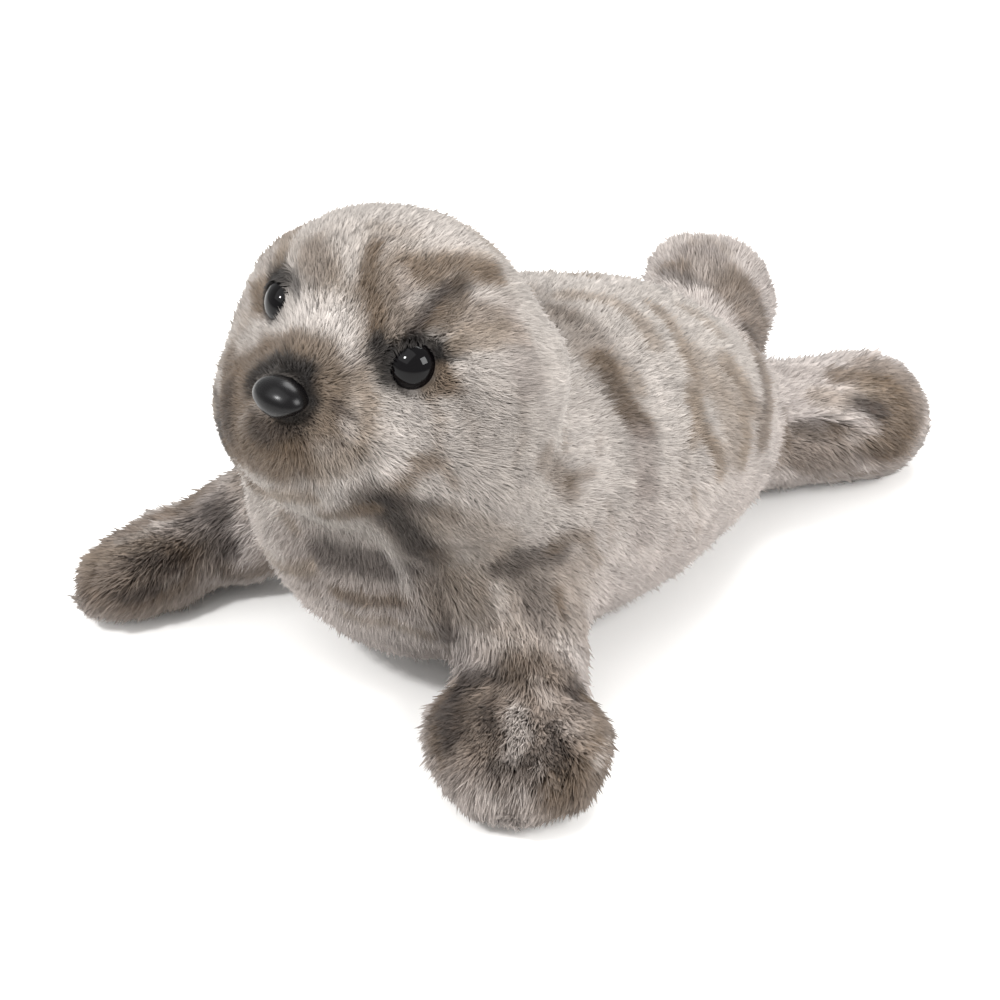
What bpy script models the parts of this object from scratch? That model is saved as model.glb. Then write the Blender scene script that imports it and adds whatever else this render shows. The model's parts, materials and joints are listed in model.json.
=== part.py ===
"""A stuffed plush toy of a grey seal, lying on its belly with its head up and its flippers spread.

The stuffed body is modelled whole from named masses, out to the tips of its pile, and is parted with
thin cuts into the sections that its maker sews. The plastic eyes and nose sit in sockets of their own.
Metres, +Z up. The head faces -Y and the toy's left side is +X. The toy lies on the floor at Z = 0, and
the origin is in the middle of its outline seen from above.
"""

import math

import bmesh
import bpy
import numpy
from mathutils import Matrix, Vector

MM = 0.001

# Overall build
GAP = 0.3 * MM              # clearance at every cut and socket
VOXEL = 3.0 * MM            # grain of the stuffed surface before it is smoothed
SMOOTHING = 12              # passes of smoothing over the joined masses
BODY_TRIANGLES = 4400       # faces kept on the whole stuffed body

# Masses of the head: centre (x, y, z) and half sizes (x, y, z), millimetres
HEAD_MASSES = {
    "skull": ((0, -103, 115), (62.5, 45, 62)),
    "bridge": ((0, -130, 128), (26, 28, 25)),
    "muzzle": ((0, -140, 108), (47, 27, 30)),
}
TEMPLE, CHEEK = ((34.5, -102.5, 127), 32), ((31, -116.5, 97.5), 36.4)    # centre and radius, left side
FACE_STEPS = 5

# Girth of the trunk from breast to rump: place along the body, half width, half height, height of
# its centre and how far it rounds off lengthways, millimetres
TRUNK_GIRTHS = (
    (-107, 65, 56, 67, 45),
    (-66, 70, 60.5, 58, 45),
    (-22, 71, 59.5, 56.5, 44),
    (16, 59.5, 51, 49, 39),
    (48, 41, 36, 34.5, 33),
    (60, 33, 28, 28, 28),
)
TRUNK_STEPS = 28

# Fore limbs: an arm from shoulder to wrist, each end a centre and a radius, and the flat flipper that
# lies on the floor: centre, half sizes across, along and through, and its heading outwards, degrees
ARM_STEPS = 5
FORE_TOES = 4
# A toe against its flipper: where it sits across and along, and its half sizes, as shares
TOE_ACROSS, TOE_AHEAD = 0.66, 0.62
TOE_HALF = (0.33, 0.42, 0.8)
FORE_LIMBS = {
    "left": {
        "shoulder": ((39, -88, 42), 25), "wrist": ((65.3, -113, 24), 23.5),
        "flipper": (80, -131, 17), "half": (32, 40, 18.5), "heading": 50,
    },
    "right": {
        "shoulder": ((-50, -82, 45), 24.5), "wrist": ((-76, -110, 23.5), 21.5),
        "flipper": (-89, -134, 16.5), "half": (19.5, 42, 18), "heading": 4,
    },
}

# Hind limbs: a root inside the rump and a tip, each a centre and a radius, how far apart the three
# toes of the fan spread, millimetres, how far the fan's outer edge tips down, degrees, and its height
# as a share of its width
HIND_STEPS = 6
TOE_SETBACK = 0.5           # how far the outer toes stop short, as a share of their spread
TOE_SMALLER = 0.18          # share of the radius that an outer toe loses
HIND_LIMBS = {
    "left": {
        "root": ((15, 67, 26), 26.5), "tip": ((33, 108, 21.5), 26.5), "spread": 9, "tipped": 0, "flat": 0.92,
    },
    "right": {
        "root": ((-22, 74, 29), 25), "tip": ((-62, 132, 32.5), 22.5), "spread": 11, "tipped": 38, "flat": 0.85,
    },
}

# Where the whole body is parted, in order. Each section is what a box holds that starts at a cut and
# reaches away from the body: a point on the cut, the way it faces, and the box's half width, half
# height and depth
SECTIONS = {
    "fore_flipper_left": {"at": (69, -112, 20), "towards": (0.62, -0.72, -0.3), "size": (45, 40, 90)},
    "arm_left": {"at": (58, -100, 35), "towards": (0.85, -0.3, -0.4), "size": (42, 38, 60)},
    "fore_flipper_right": {"at": (-77, -112, 20), "towards": (-0.5, -0.85, -0.2), "size": (42, 40, 90)},
    "arm_right": {"at": (-60, -95, 33), "towards": (-0.85, -0.3, -0.35), "size": (42, 36, 60)},
    "hind_flipper_left": {"at": (22, 88, 26), "towards": (0.45, 0.89, -0.1), "size": (38, 45, 90)},
    "hind_flipper_right": {"at": (-33, 90, 28), "towards": (-0.6, 0.8, 0), "size": (50, 45, 120)},
    "muzzle": {"at": (0, -145, 118), "towards": (0, -0.894, -0.447), "size": (70, 35, 60)},
    "head": {"at": (0, -102, 101), "towards": (0, -0.447, 0.894), "size": (95, 110, 120)},
    "neck": {"at": (0, -54, 60), "towards": (0, -1, 0.14), "size": (110, 110, 140)},
}
FLOOR_SIZE = (300, 300, 60)

# Plastic eyes and nose
EYE_CENTRE = (30.9, -129.6, 143.2)
EYE_RADIUS, EYE_DEPTH = 8.3, 6.8
EYE_TURN, EYE_RAISE = 40, 14        # how far each eye looks outwards and upwards, degrees
NOSE_CENTRE = (0, -161.2, 132)
NOSE_HALF = (11.2, 9.2, 6.8)
NOSE_TAPER = 0.35                   # share of its width that the nose loses towards its lower edge

# Colours, linear
LIGHT_PILE, DARK_PILE, BLACK_PLASTIC = (0.44, 0.37, 0.33), (0.12, 0.09, 0.07), (0.01, 0.01, 0.01)

SIDES = {"left": 1, "right": -1}


def clear_scene():
    for obj in list(bpy.data.objects):
        bpy.data.objects.remove(obj, do_unlink=True)


def new_collection(name):
    group = bpy.data.collections.new(name)
    bpy.context.scene.collection.children.link(group)
    return group


def new_material(name, colour, roughness):
    """A Principled material of one linear colour."""
    made = bpy.data.materials.new(name)
    made.use_nodes = True
    shader = made.node_tree.nodes["Principled BSDF"]
    shader.inputs["Base Color"].default_value = (*colour, 1)
    shader.inputs["Roughness"].default_value = roughness
    return made


def add_object(name, mesh, group):
    obj = bpy.data.objects.new(name, mesh)
    group.objects.link(obj)
    return obj


def mesh_of(shape, name):
    """Turns a finished bmesh into a mesh and frees it."""
    mesh = bpy.data.meshes.new(name)
    shape.to_mesh(mesh)
    shape.free()
    return mesh


def evaluated_mesh(obj):
    """The object's mesh with its modifiers applied."""
    bpy.context.view_layer.update()
    return bpy.data.meshes.new_from_object(obj.evaluated_get(bpy.context.evaluated_depsgraph_get()))


def modified(obj, kind, **settings):
    """Applies one modifier to an object at once, and returns the object."""
    modifier = obj.modifiers.new(kind.title(), kind)
    for key, value in settings.items():
        setattr(modifier, key, value)
    before, obj_mesh = obj.data, evaluated_mesh(obj)
    obj.modifiers.clear()
    obj.data = obj_mesh
    bpy.data.meshes.remove(before)
    return obj


def add_ellipsoid(shape, centre, half, turn=None):
    """Adds a closed ellipsoid to a bmesh, its centre and half sizes in millimetres."""
    place = Matrix.Translation(Vector(centre) * MM)
    stretch = Matrix.Diagonal((*(Vector(half) * MM), 1))
    turn = turn.to_4x4() if turn else Matrix.Identity(4)
    bmesh.ops.create_icosphere(shape, subdivisions=4, radius=1, matrix=place @ turn @ stretch)


def add_chain(shape, start, end, steps, flat=1.0):
    """Adds a row of balls whose centre and radius run from one end to the other."""
    for step in range(steps + 1):
        share = step / steps
        centre = Vector(start[0]).lerp(Vector(end[0]), share)
        radius = start[1] + (end[1] - start[1]) * share
        add_ellipsoid(shape, centre, (radius, radius, radius * flat))


def add_fore_limb(shape, limb, side):
    """Adds an arm, and a flipper with toes along its front edge."""
    add_chain(shape, limb["shoulder"], limb["wrist"], ARM_STEPS)
    turn = Matrix.Rotation(math.radians(side * limb["heading"]), 3, "Z")
    across, along, _ = limb["half"]
    centre = Vector(limb["flipper"])
    add_ellipsoid(shape, centre, limb["half"], turn)
    for toe in range(FORE_TOES):
        place = (toe + 0.5) / FORE_TOES * 2 - 1
        reach = Vector((TOE_ACROSS * across * place, -TOE_AHEAD * along * math.cos(place), 0))
        half = [share * size for share, size in zip(TOE_HALF, limb["half"])]
        add_ellipsoid(shape, centre + turn @ reach, half, turn)


def add_hind_limb(shape, limb, side):
    """Adds a hind flipper: a root that widens into a fan of three toes."""
    root, tip = limb["root"], limb["tip"]
    ahead = (Vector(tip[0]) - Vector(root[0])).normalized()
    aside = ahead.cross(Vector((0, 0, 1))).normalized()
    aside.rotate(Matrix.Rotation(math.radians(limb["tipped"]), 3, ahead))
    for toe in (-1, 0, 1):
        reach = (aside * toe - ahead * TOE_SETBACK * abs(toe)) * limb["spread"]
        radius = tip[1] * (1 - TOE_SMALLER * abs(toe))
        add_chain(shape, root, (Vector(tip[0]) + reach, radius), HIND_STEPS, limb["flat"])


def add_trunk(shape):
    """Adds close-set ellipsoids whose girth follows the trunk's from breast to rump."""
    places, *girths = zip(*TRUNK_GIRTHS)
    for place in numpy.linspace(places[0], places[-1], TRUNK_STEPS):
        half_width, half_height, level, rounding = (numpy.interp(place, places, girth) for girth in girths)
        add_ellipsoid(shape, (0, place, level), (half_width, rounding, half_height))


def stuffed_body(group):
    """The whole stuffed body, joined from its masses and smoothed, with a set number of faces."""
    shape = bmesh.new()
    add_trunk(shape)
    for centre, half in HEAD_MASSES.values():
        add_ellipsoid(shape, centre, half)
    for side in SIDES.values():
        temple, cheek = ((Vector((side * x, y, z)), radius) for (x, y, z), radius in (TEMPLE, CHEEK))
        add_chain(shape, temple, cheek, FACE_STEPS)
    for name, side in SIDES.items():
        add_fore_limb(shape, FORE_LIMBS[name], side)
        add_hind_limb(shape, HIND_LIMBS[name], side)
    body = add_object("stuffed_body", mesh_of(shape, "stuffed_body"), group)
    modified(body, "REMESH", mode="VOXEL", voxel_size=VOXEL)
    modified(body, "SMOOTH", factor=0.5, iterations=SMOOTHING)
    faces = sum(len(polygon.vertices) - 2 for polygon in body.data.polygons)
    modified(body, "DECIMATE", ratio=BODY_TRIANGLES / faces)
    return body


def boolean(obj, operation, other):
    return modified(obj, "BOOLEAN", operation=operation, object=other, solver="EXACT")


def region_box(name, region, grown, group):
    """A box that starts at a cut and reaches away from the body, larger all round by `grown`."""
    towards = Vector(region["towards"]).normalized()
    half_width, half_height, depth = Vector(region["size"]) * MM
    centre = Vector(region["at"]) * MM + towards * depth / 2
    half = (half_width + grown, half_height + grown, depth / 2 + grown)
    turn = towards.to_track_quat("Z", "Y").to_matrix().to_4x4()
    shape = bmesh.new()
    place = Matrix.Translation(centre) @ turn @ Matrix.Diagonal((*half, 1))
    bmesh.ops.create_cube(shape, size=2, matrix=place)
    box = add_object(name, mesh_of(shape, name), group)
    box.hide_render = True
    box.display_type = "WIRE"
    return box


def part_off(body, name, region, parts, cutters):
    """Takes the section beyond one cut off the body as an object of its own, and leaves a thin gap."""
    section = add_object(name, body.data.copy(), parts)
    boolean(section, "INTERSECT", region_box(name + "_region", region, 0, cutters))
    boolean(body, "DIFFERENCE", region_box(name + "_gap", region, GAP, cutters))
    return section


def floor_flats(body, cutters):
    """Cuts away what the masses press below the floor."""
    below = {"at": (0, 0, 0), "towards": (0, 0, -1), "size": FLOOR_SIZE}
    boolean(body, "DIFFERENCE", region_box("floor", below, 0, cutters))


def eye_turn(side):
    """The turn that faces an eye outwards and upwards from straight ahead."""
    aside, raised = math.radians(EYE_TURN), math.radians(EYE_RAISE)
    looks = Vector((side * math.sin(aside), -math.cos(aside), math.tan(raised)))
    return looks.to_track_quat("Z", "Y").to_matrix()


def eye_mesh(name, side, grown=0):
    """A domed plastic eye, or with `grown` in millimetres the socket round it."""
    shape = bmesh.new()
    half = Vector((EYE_RADIUS, EYE_RADIUS, EYE_DEPTH)) + Vector((grown, grown, grown))
    centre = Vector((side * EYE_CENTRE[0], *EYE_CENTRE[1:])) * MM
    place = Matrix.Translation(centre) @ eye_turn(side).to_4x4() @ Matrix.Diagonal((*(half * MM), 1))
    bmesh.ops.create_uvsphere(shape, u_segments=20, v_segments=10, radius=1, matrix=place)
    return mesh_of(shape, name)


def nose_mesh(name, grown=0):
    """A moulded nose, widest across its middle and narrower below, or the socket round it."""
    shape = bmesh.new()
    bmesh.ops.create_uvsphere(shape, u_segments=20, v_segments=12, radius=1)
    half = (Vector(NOSE_HALF) + Vector((grown, grown, grown))) * MM
    for point in shape.verts:
        low = max(0.0, -point.co.z)
        narrower = 1 - NOSE_TAPER * low
        point.co = Vector((point.co.x * narrower * half.x, point.co.y * half.y, point.co.z * half.z))
    bmesh.ops.translate(shape, verts=shape.verts, vec=Vector(NOSE_CENTRE) * MM)
    return mesh_of(shape, name)


def fit_face(sections, parts, cutters):
    """Adds the eyes and the nose, and cuts their sockets with a thin clearance."""
    pieces = {"nose": (nose_mesh("nose"), nose_mesh("nose_socket", GAP / MM))}
    for name, side in SIDES.items():
        pieces[f"eye_{name}"] = (eye_mesh("eye", side), eye_mesh("eye_socket", side, GAP / MM))
    made = {}
    for name, (mesh, socket_mesh) in pieces.items():
        made[name] = add_object(name, mesh, parts)
        socket = add_object(name + "_socket", socket_mesh, cutters)
        socket.hide_render = True
        socket.display_type = "WIRE"
        for section in ("head", "muzzle"):
            boolean(sections[section], "DIFFERENCE", socket)
    return made


def lay_on_origin(objects):
    """Moves everything so that the origin is in the middle of the outline, on the floor."""
    points = [vertex.co for obj in objects for vertex in obj.data.vertices]
    low = Vector([min(point[axis] for point in points) for axis in range(3)])
    high = Vector([max(point[axis] for point in points) for axis in range(3)])
    shift = Vector((-(low.x + high.x) / 2, -(low.y + high.y) / 2, -low.z))
    for obj in objects:
        obj.data.transform(Matrix.Translation(shift))


def main():
    clear_scene()
    parts = new_collection("plush_grey_seal")
    cutters = new_collection("cutters")
    body = stuffed_body(parts)
    floor_flats(body, cutters)
    sections = {name: part_off(body, name, region, parts, cutters) for name, region in SECTIONS.items()}
    body.name = body.data.name = "trunk"
    sections["trunk"] = body
    face = fit_face(sections, parts, cutters)
    light, dark = new_material("plush_light", LIGHT_PILE, 0.9), new_material("plush_dark", DARK_PILE, 0.9)
    for name, obj in sections.items():
        obj.data.materials.clear()
        obj.data.materials.append(dark if "flipper" in name or name == "muzzle" else light)
    for name, obj in face.items():
        shiny = 0.06 if name.startswith("eye") else 0.3
        obj.data.materials.append(new_material(name + "_plastic", BLACK_PLASTIC, shiny))
    for obj in (*sections.values(), *face.values()):
        obj.data.shade_smooth()
    lay_on_origin([*sections.values(), *face.values()])


if __name__ == "__main__":
    main()
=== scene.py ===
"""The looks of a plush toy seal: pile cloth over filling, plastic safety eyes and a moulded nose.

One stuffed skin stands for every section of the body, a little inside it. The pile stands on the skin as
separate locks, combed the way the cloth lies, and reaches the solids' outline. Skin and pile share one
set of airbrushed markings, which also paint shade into the creases, under the jaw and round the eyes and
nose. The roots and the backing carry painted shade, and the tips a painted highlight. Lengths are in
millimetres in the named sizes and in metres in the meshes.
"""

from __future__ import annotations

import json
import logging
import math
from dataclasses import dataclass, field
from enum import Enum

import bmesh
import bpy
import numpy as np
from mathutils import Matrix, Vector
from mathutils.kdtree import KDTree

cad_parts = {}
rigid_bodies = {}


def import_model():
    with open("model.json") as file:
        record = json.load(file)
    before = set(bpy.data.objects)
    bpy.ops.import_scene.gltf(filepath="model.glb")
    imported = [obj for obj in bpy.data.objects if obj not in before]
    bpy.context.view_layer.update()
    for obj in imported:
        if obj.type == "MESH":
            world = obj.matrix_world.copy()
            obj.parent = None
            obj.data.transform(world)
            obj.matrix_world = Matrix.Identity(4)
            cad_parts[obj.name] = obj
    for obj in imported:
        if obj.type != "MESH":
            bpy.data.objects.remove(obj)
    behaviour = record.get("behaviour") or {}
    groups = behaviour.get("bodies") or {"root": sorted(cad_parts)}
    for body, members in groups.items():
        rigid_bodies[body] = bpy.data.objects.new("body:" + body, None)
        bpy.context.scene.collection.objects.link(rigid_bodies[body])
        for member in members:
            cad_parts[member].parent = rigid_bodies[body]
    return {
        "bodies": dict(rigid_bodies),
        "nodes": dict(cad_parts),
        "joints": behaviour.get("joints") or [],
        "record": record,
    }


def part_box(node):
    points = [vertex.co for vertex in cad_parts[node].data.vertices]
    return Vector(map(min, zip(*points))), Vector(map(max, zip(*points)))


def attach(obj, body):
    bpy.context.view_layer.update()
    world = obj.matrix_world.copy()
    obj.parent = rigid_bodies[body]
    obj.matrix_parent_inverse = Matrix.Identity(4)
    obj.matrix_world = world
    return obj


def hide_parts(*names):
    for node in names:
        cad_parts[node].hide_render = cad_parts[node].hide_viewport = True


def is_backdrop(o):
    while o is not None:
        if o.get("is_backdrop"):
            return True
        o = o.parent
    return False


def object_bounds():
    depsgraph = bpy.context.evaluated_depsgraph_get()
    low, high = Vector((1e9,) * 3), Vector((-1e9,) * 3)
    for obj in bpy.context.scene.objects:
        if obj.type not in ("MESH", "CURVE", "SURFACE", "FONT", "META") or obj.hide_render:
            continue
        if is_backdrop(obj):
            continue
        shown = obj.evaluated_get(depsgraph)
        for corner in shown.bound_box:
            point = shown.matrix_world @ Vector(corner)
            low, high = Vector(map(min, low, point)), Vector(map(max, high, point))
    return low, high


LOG = logging.getLogger("plush_seal")
MM = 0.001
SEED = 20

# Patterns of the smooth noise, each a seed of its own
LUMPS, SWIRLS, CLOUDS = 11, 21, 31

# Keeps a division away from zero
TINY = 1e-12

# Width of each lock's own patch on the skin's unwrap
PATCH = 0.003

# Where values live on a mesh attribute of each kind, and how many make up a row
FIELDS = {"FLOAT": ("value", 1), "FLOAT_VECTOR": ("vector", 3), "FLOAT_COLOR": ("color", 4)}

Triple = tuple[float, float, float]


def linear(colour: str) -> Triple:
    """Turns an sRGB hex colour to linear.

    Args:
        colour: six hex digits after a hash sign.

    Returns:
        Red, green and blue, linear, from 0 to 1.
    """
    shares = [int(colour[start:start + 2], 16) / 255 for start in (1, 3, 5)]
    return tuple(s / 12.92 if s <= 0.04045 else ((s + 0.055) / 1.055) ** 2.4 for s in shares)


def eased(values: np.ndarray, low: float, high: float) -> np.ndarray:
    """Rises smoothly from 0 at `low` to 1 at `high`."""
    share = np.clip((values - low) / (high - low), 0, 1)
    return share * share * (3 - 2 * share)


def unit(vectors: np.ndarray) -> np.ndarray:
    """The vectors at length 1."""
    return vectors / np.maximum(np.linalg.norm(vectors, axis=-1, keepdims=True), TINY)


def ripple(points: np.ndarray, size: float, seed: int) -> np.ndarray:
    """Smooth noise in space, from about -1 to 1.

    Args:
        points: places, metres.
        size: width of one ripple, metres.
        seed: picks the pattern.

    Returns:
        One value for each place.
    """
    random = np.random.default_rng(seed)
    total = np.zeros(len(points))
    waves, coarsest, finest = 7, 0.35, 0.75
    for _ in range(waves):
        way = unit(random.normal(size=3)) * 2 * math.pi / size * random.uniform(coarsest, finest)
        total += np.sin(points @ way + random.uniform(0, 2 * math.pi))
    return total / math.sqrt(waves)


def path_distance(points: np.ndarray, path: np.ndarray) -> np.ndarray:
    """How far each point is from a path of straight runs.

    Args:
        points: places, metres.
        path: the path's corners, metres, or one place.

    Returns:
        The distances, metres.
    """
    nearest = np.linalg.norm(points - path[0], axis=1)
    for start, end in zip(path[:-1], path[1:]):
        run = end - start
        share = np.clip((points - start) @ run / max(run @ run, TINY), 0, 1)
        nearest = np.minimum(nearest, np.linalg.norm(points - start - share[:, None] * run, axis=1))
    return nearest


def add_node(tree: bpy.types.NodeTree, kind: str, inputs: dict | None = None, **settings) -> bpy.types.Node:
    """Adds a node with its settings and links.

    Args:
        tree: the tree it joins.
        kind: the node's type name.
        inputs: for an input's name or number, its value or the output that feeds it.
        settings: the node's own properties.

    Returns:
        The node.
    """
    node = tree.nodes.new(kind)
    for name, value in settings.items():
        setattr(node, name, value)
    for name, value in (inputs or {}).items():
        socket = node.inputs[name]
        if isinstance(value, bpy.types.NodeSocket):
            tree.links.new(value, socket)
        else:
            socket.default_value = value
    return node


def middle(node: str) -> Vector:
    """The middle of a node's box."""
    return sum(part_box(node), Vector()) / 2


def middle_and_half(node: str) -> tuple[np.ndarray, np.ndarray]:
    """The middle of a node's box and its half sizes, as arrays."""
    low, high = (np.array(corner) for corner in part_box(node))
    return (low + high) / 2, (high - low) / 2


def place_in(section: str, shares: Triple) -> Vector:
    """A place given as shares of a section's box."""
    low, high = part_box(section)
    return Vector(a + (b - a) * share for a, b, share in zip(low, high, shares))


def path_in(section: str, path: np.ndarray) -> np.ndarray:
    """A path given as shares of a section's box, in metres."""
    return np.array([place_in(section, spot) for spot in path])


def read_vectors(mesh: bpy.types.Mesh) -> tuple[np.ndarray, np.ndarray]:
    """Reads a mesh's points and their normals.

    Args:
        mesh: the mesh.

    Returns:
        Two arrays with a row for each point.
    """
    points = np.empty(len(mesh.vertices) * 3, np.float32)
    normals = np.empty(len(mesh.vertices) * 3, np.float32)
    mesh.vertices.foreach_get("co", points)
    mesh.vertex_normals.foreach_get("vector", normals)
    return points.reshape(-1, 3).astype(float), normals.reshape(-1, 3).astype(float)


def write_points(mesh: bpy.types.Mesh, points: np.ndarray) -> None:
    """Moves a mesh's points."""
    mesh.vertices.foreach_set("co", points.astype(np.float32).ravel())
    mesh.update()


def store(mesh: bpy.types.Mesh, name: str, kind: str, values: np.ndarray) -> None:
    """Keeps one value for each point of a mesh.

    Args:
        mesh: the mesh.
        name: the attribute's name.
        kind: FLOAT, FLOAT_VECTOR or FLOAT_COLOR.
        values: one row for each point.
    """
    attribute = mesh.attributes.new(name, kind, "POINT")
    attribute.data.foreach_set(FIELDS[kind][0], values.astype(np.float32).ravel())


def stored(mesh: bpy.types.Mesh, name: str) -> np.ndarray:
    """Reads what is kept for each point of a mesh.

    Args:
        mesh: the mesh.
        name: the attribute's name.

    Returns:
        One row for each point.
    """
    attribute = mesh.attributes[name]
    values_of, width = FIELDS[attribute.data_type]
    values = np.empty(len(attribute.data) * width, np.float32)
    attribute.data.foreach_get(values_of, values)
    return values.reshape(-1, width)


def add_object(name: str, data: bpy.types.ID) -> bpy.types.Object:
    """Links a mesh, a lamp or a camera into the scene.

    Args:
        name: the object's name.
        data: what it holds.

    Returns:
        The object, at the origin.
    """
    made = bpy.data.objects.new(name, data)
    bpy.context.scene.collection.objects.link(made)
    return made


def settle(obj: bpy.types.Object) -> None:
    """Applies an object's modifiers to its mesh.

    Args:
        obj: the object, which holds a plain mesh afterwards.
    """
    bpy.context.view_layer.update()
    old = obj.data
    mesh = bpy.data.meshes.new_from_object(obj.evaluated_get(bpy.context.evaluated_depsgraph_get()))
    obj.modifiers.clear()
    obj.data = mesh
    bpy.data.meshes.remove(old)
    mesh.name = obj.name


def turned(profile: list[tuple[float, float]], around: int) -> tuple[list[Triple], list[tuple[int, ...]]]:
    """Turns a profile about +Z into a closed surface.

    Args:
        profile: radius and height of each ring, from the top down, with both ends on the axis.
        around: how many points make a ring.

    Returns:
        The surface's points, in the profile's own measure, and its faces.
    """
    ring = [2 * math.pi * step / around for step in range(around)]
    points = [(radius * math.cos(angle), radius * math.sin(angle), height)
              for radius, height in profile[1:-1] for angle in ring]
    last = len(points) - around
    top, base = len(points), len(points) + 1
    points += [(0.0, 0.0, profile[0][1]), (0.0, 0.0, profile[-1][1])]
    pairs = [(step, (step + 1) % around) for step in range(around)]
    faces = [(row + a, row + around + a, row + around + b, row + b)
             for row in range(0, last, around) for a, b in pairs]
    faces += [(top, a, b) for a, b in pairs]
    faces += [(base, last + b, last + a) for a, b in pairs]
    return points, faces


def blank_material(name: str) -> bpy.types.Material:
    """Makes a material with an empty tree of nodes.

    Args:
        name: the material's name.

    Returns:
        The material.
    """
    made = bpy.data.materials.new(name)
    made.use_nodes = True
    made.node_tree.nodes.clear()
    return made


# --------------------------------------------------------------------------- markings


class Pigment(Enum):
    """Dyes that are airbrushed on the pile, and the colour each turns it. The darkest also serve as painted
    shade in creases and hollows.
    """

    PALE = "#D3CBC5"
    OLIVE = "#7F7265"
    UMBER = "#5D4E3F"
    SEPIA = "#2F2621"
    GREY = "#827872"
    SOOT = "#14100E"


PALE, OLIVE, UMBER, SEPIA, GREY, SOOT = Pigment


@dataclass(frozen=True)
class Mark:
    """One airbrushed stripe or patch, or a stripe of painted shade along a crease or hollow.

    `path` is in hundredths of the section's box, and `half` is half its width, in millimetres.
    """

    name: str
    section: str
    pigment: Pigment
    half: float
    strength: float
    path: tuple[tuple[int, int, int], ...]
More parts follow.
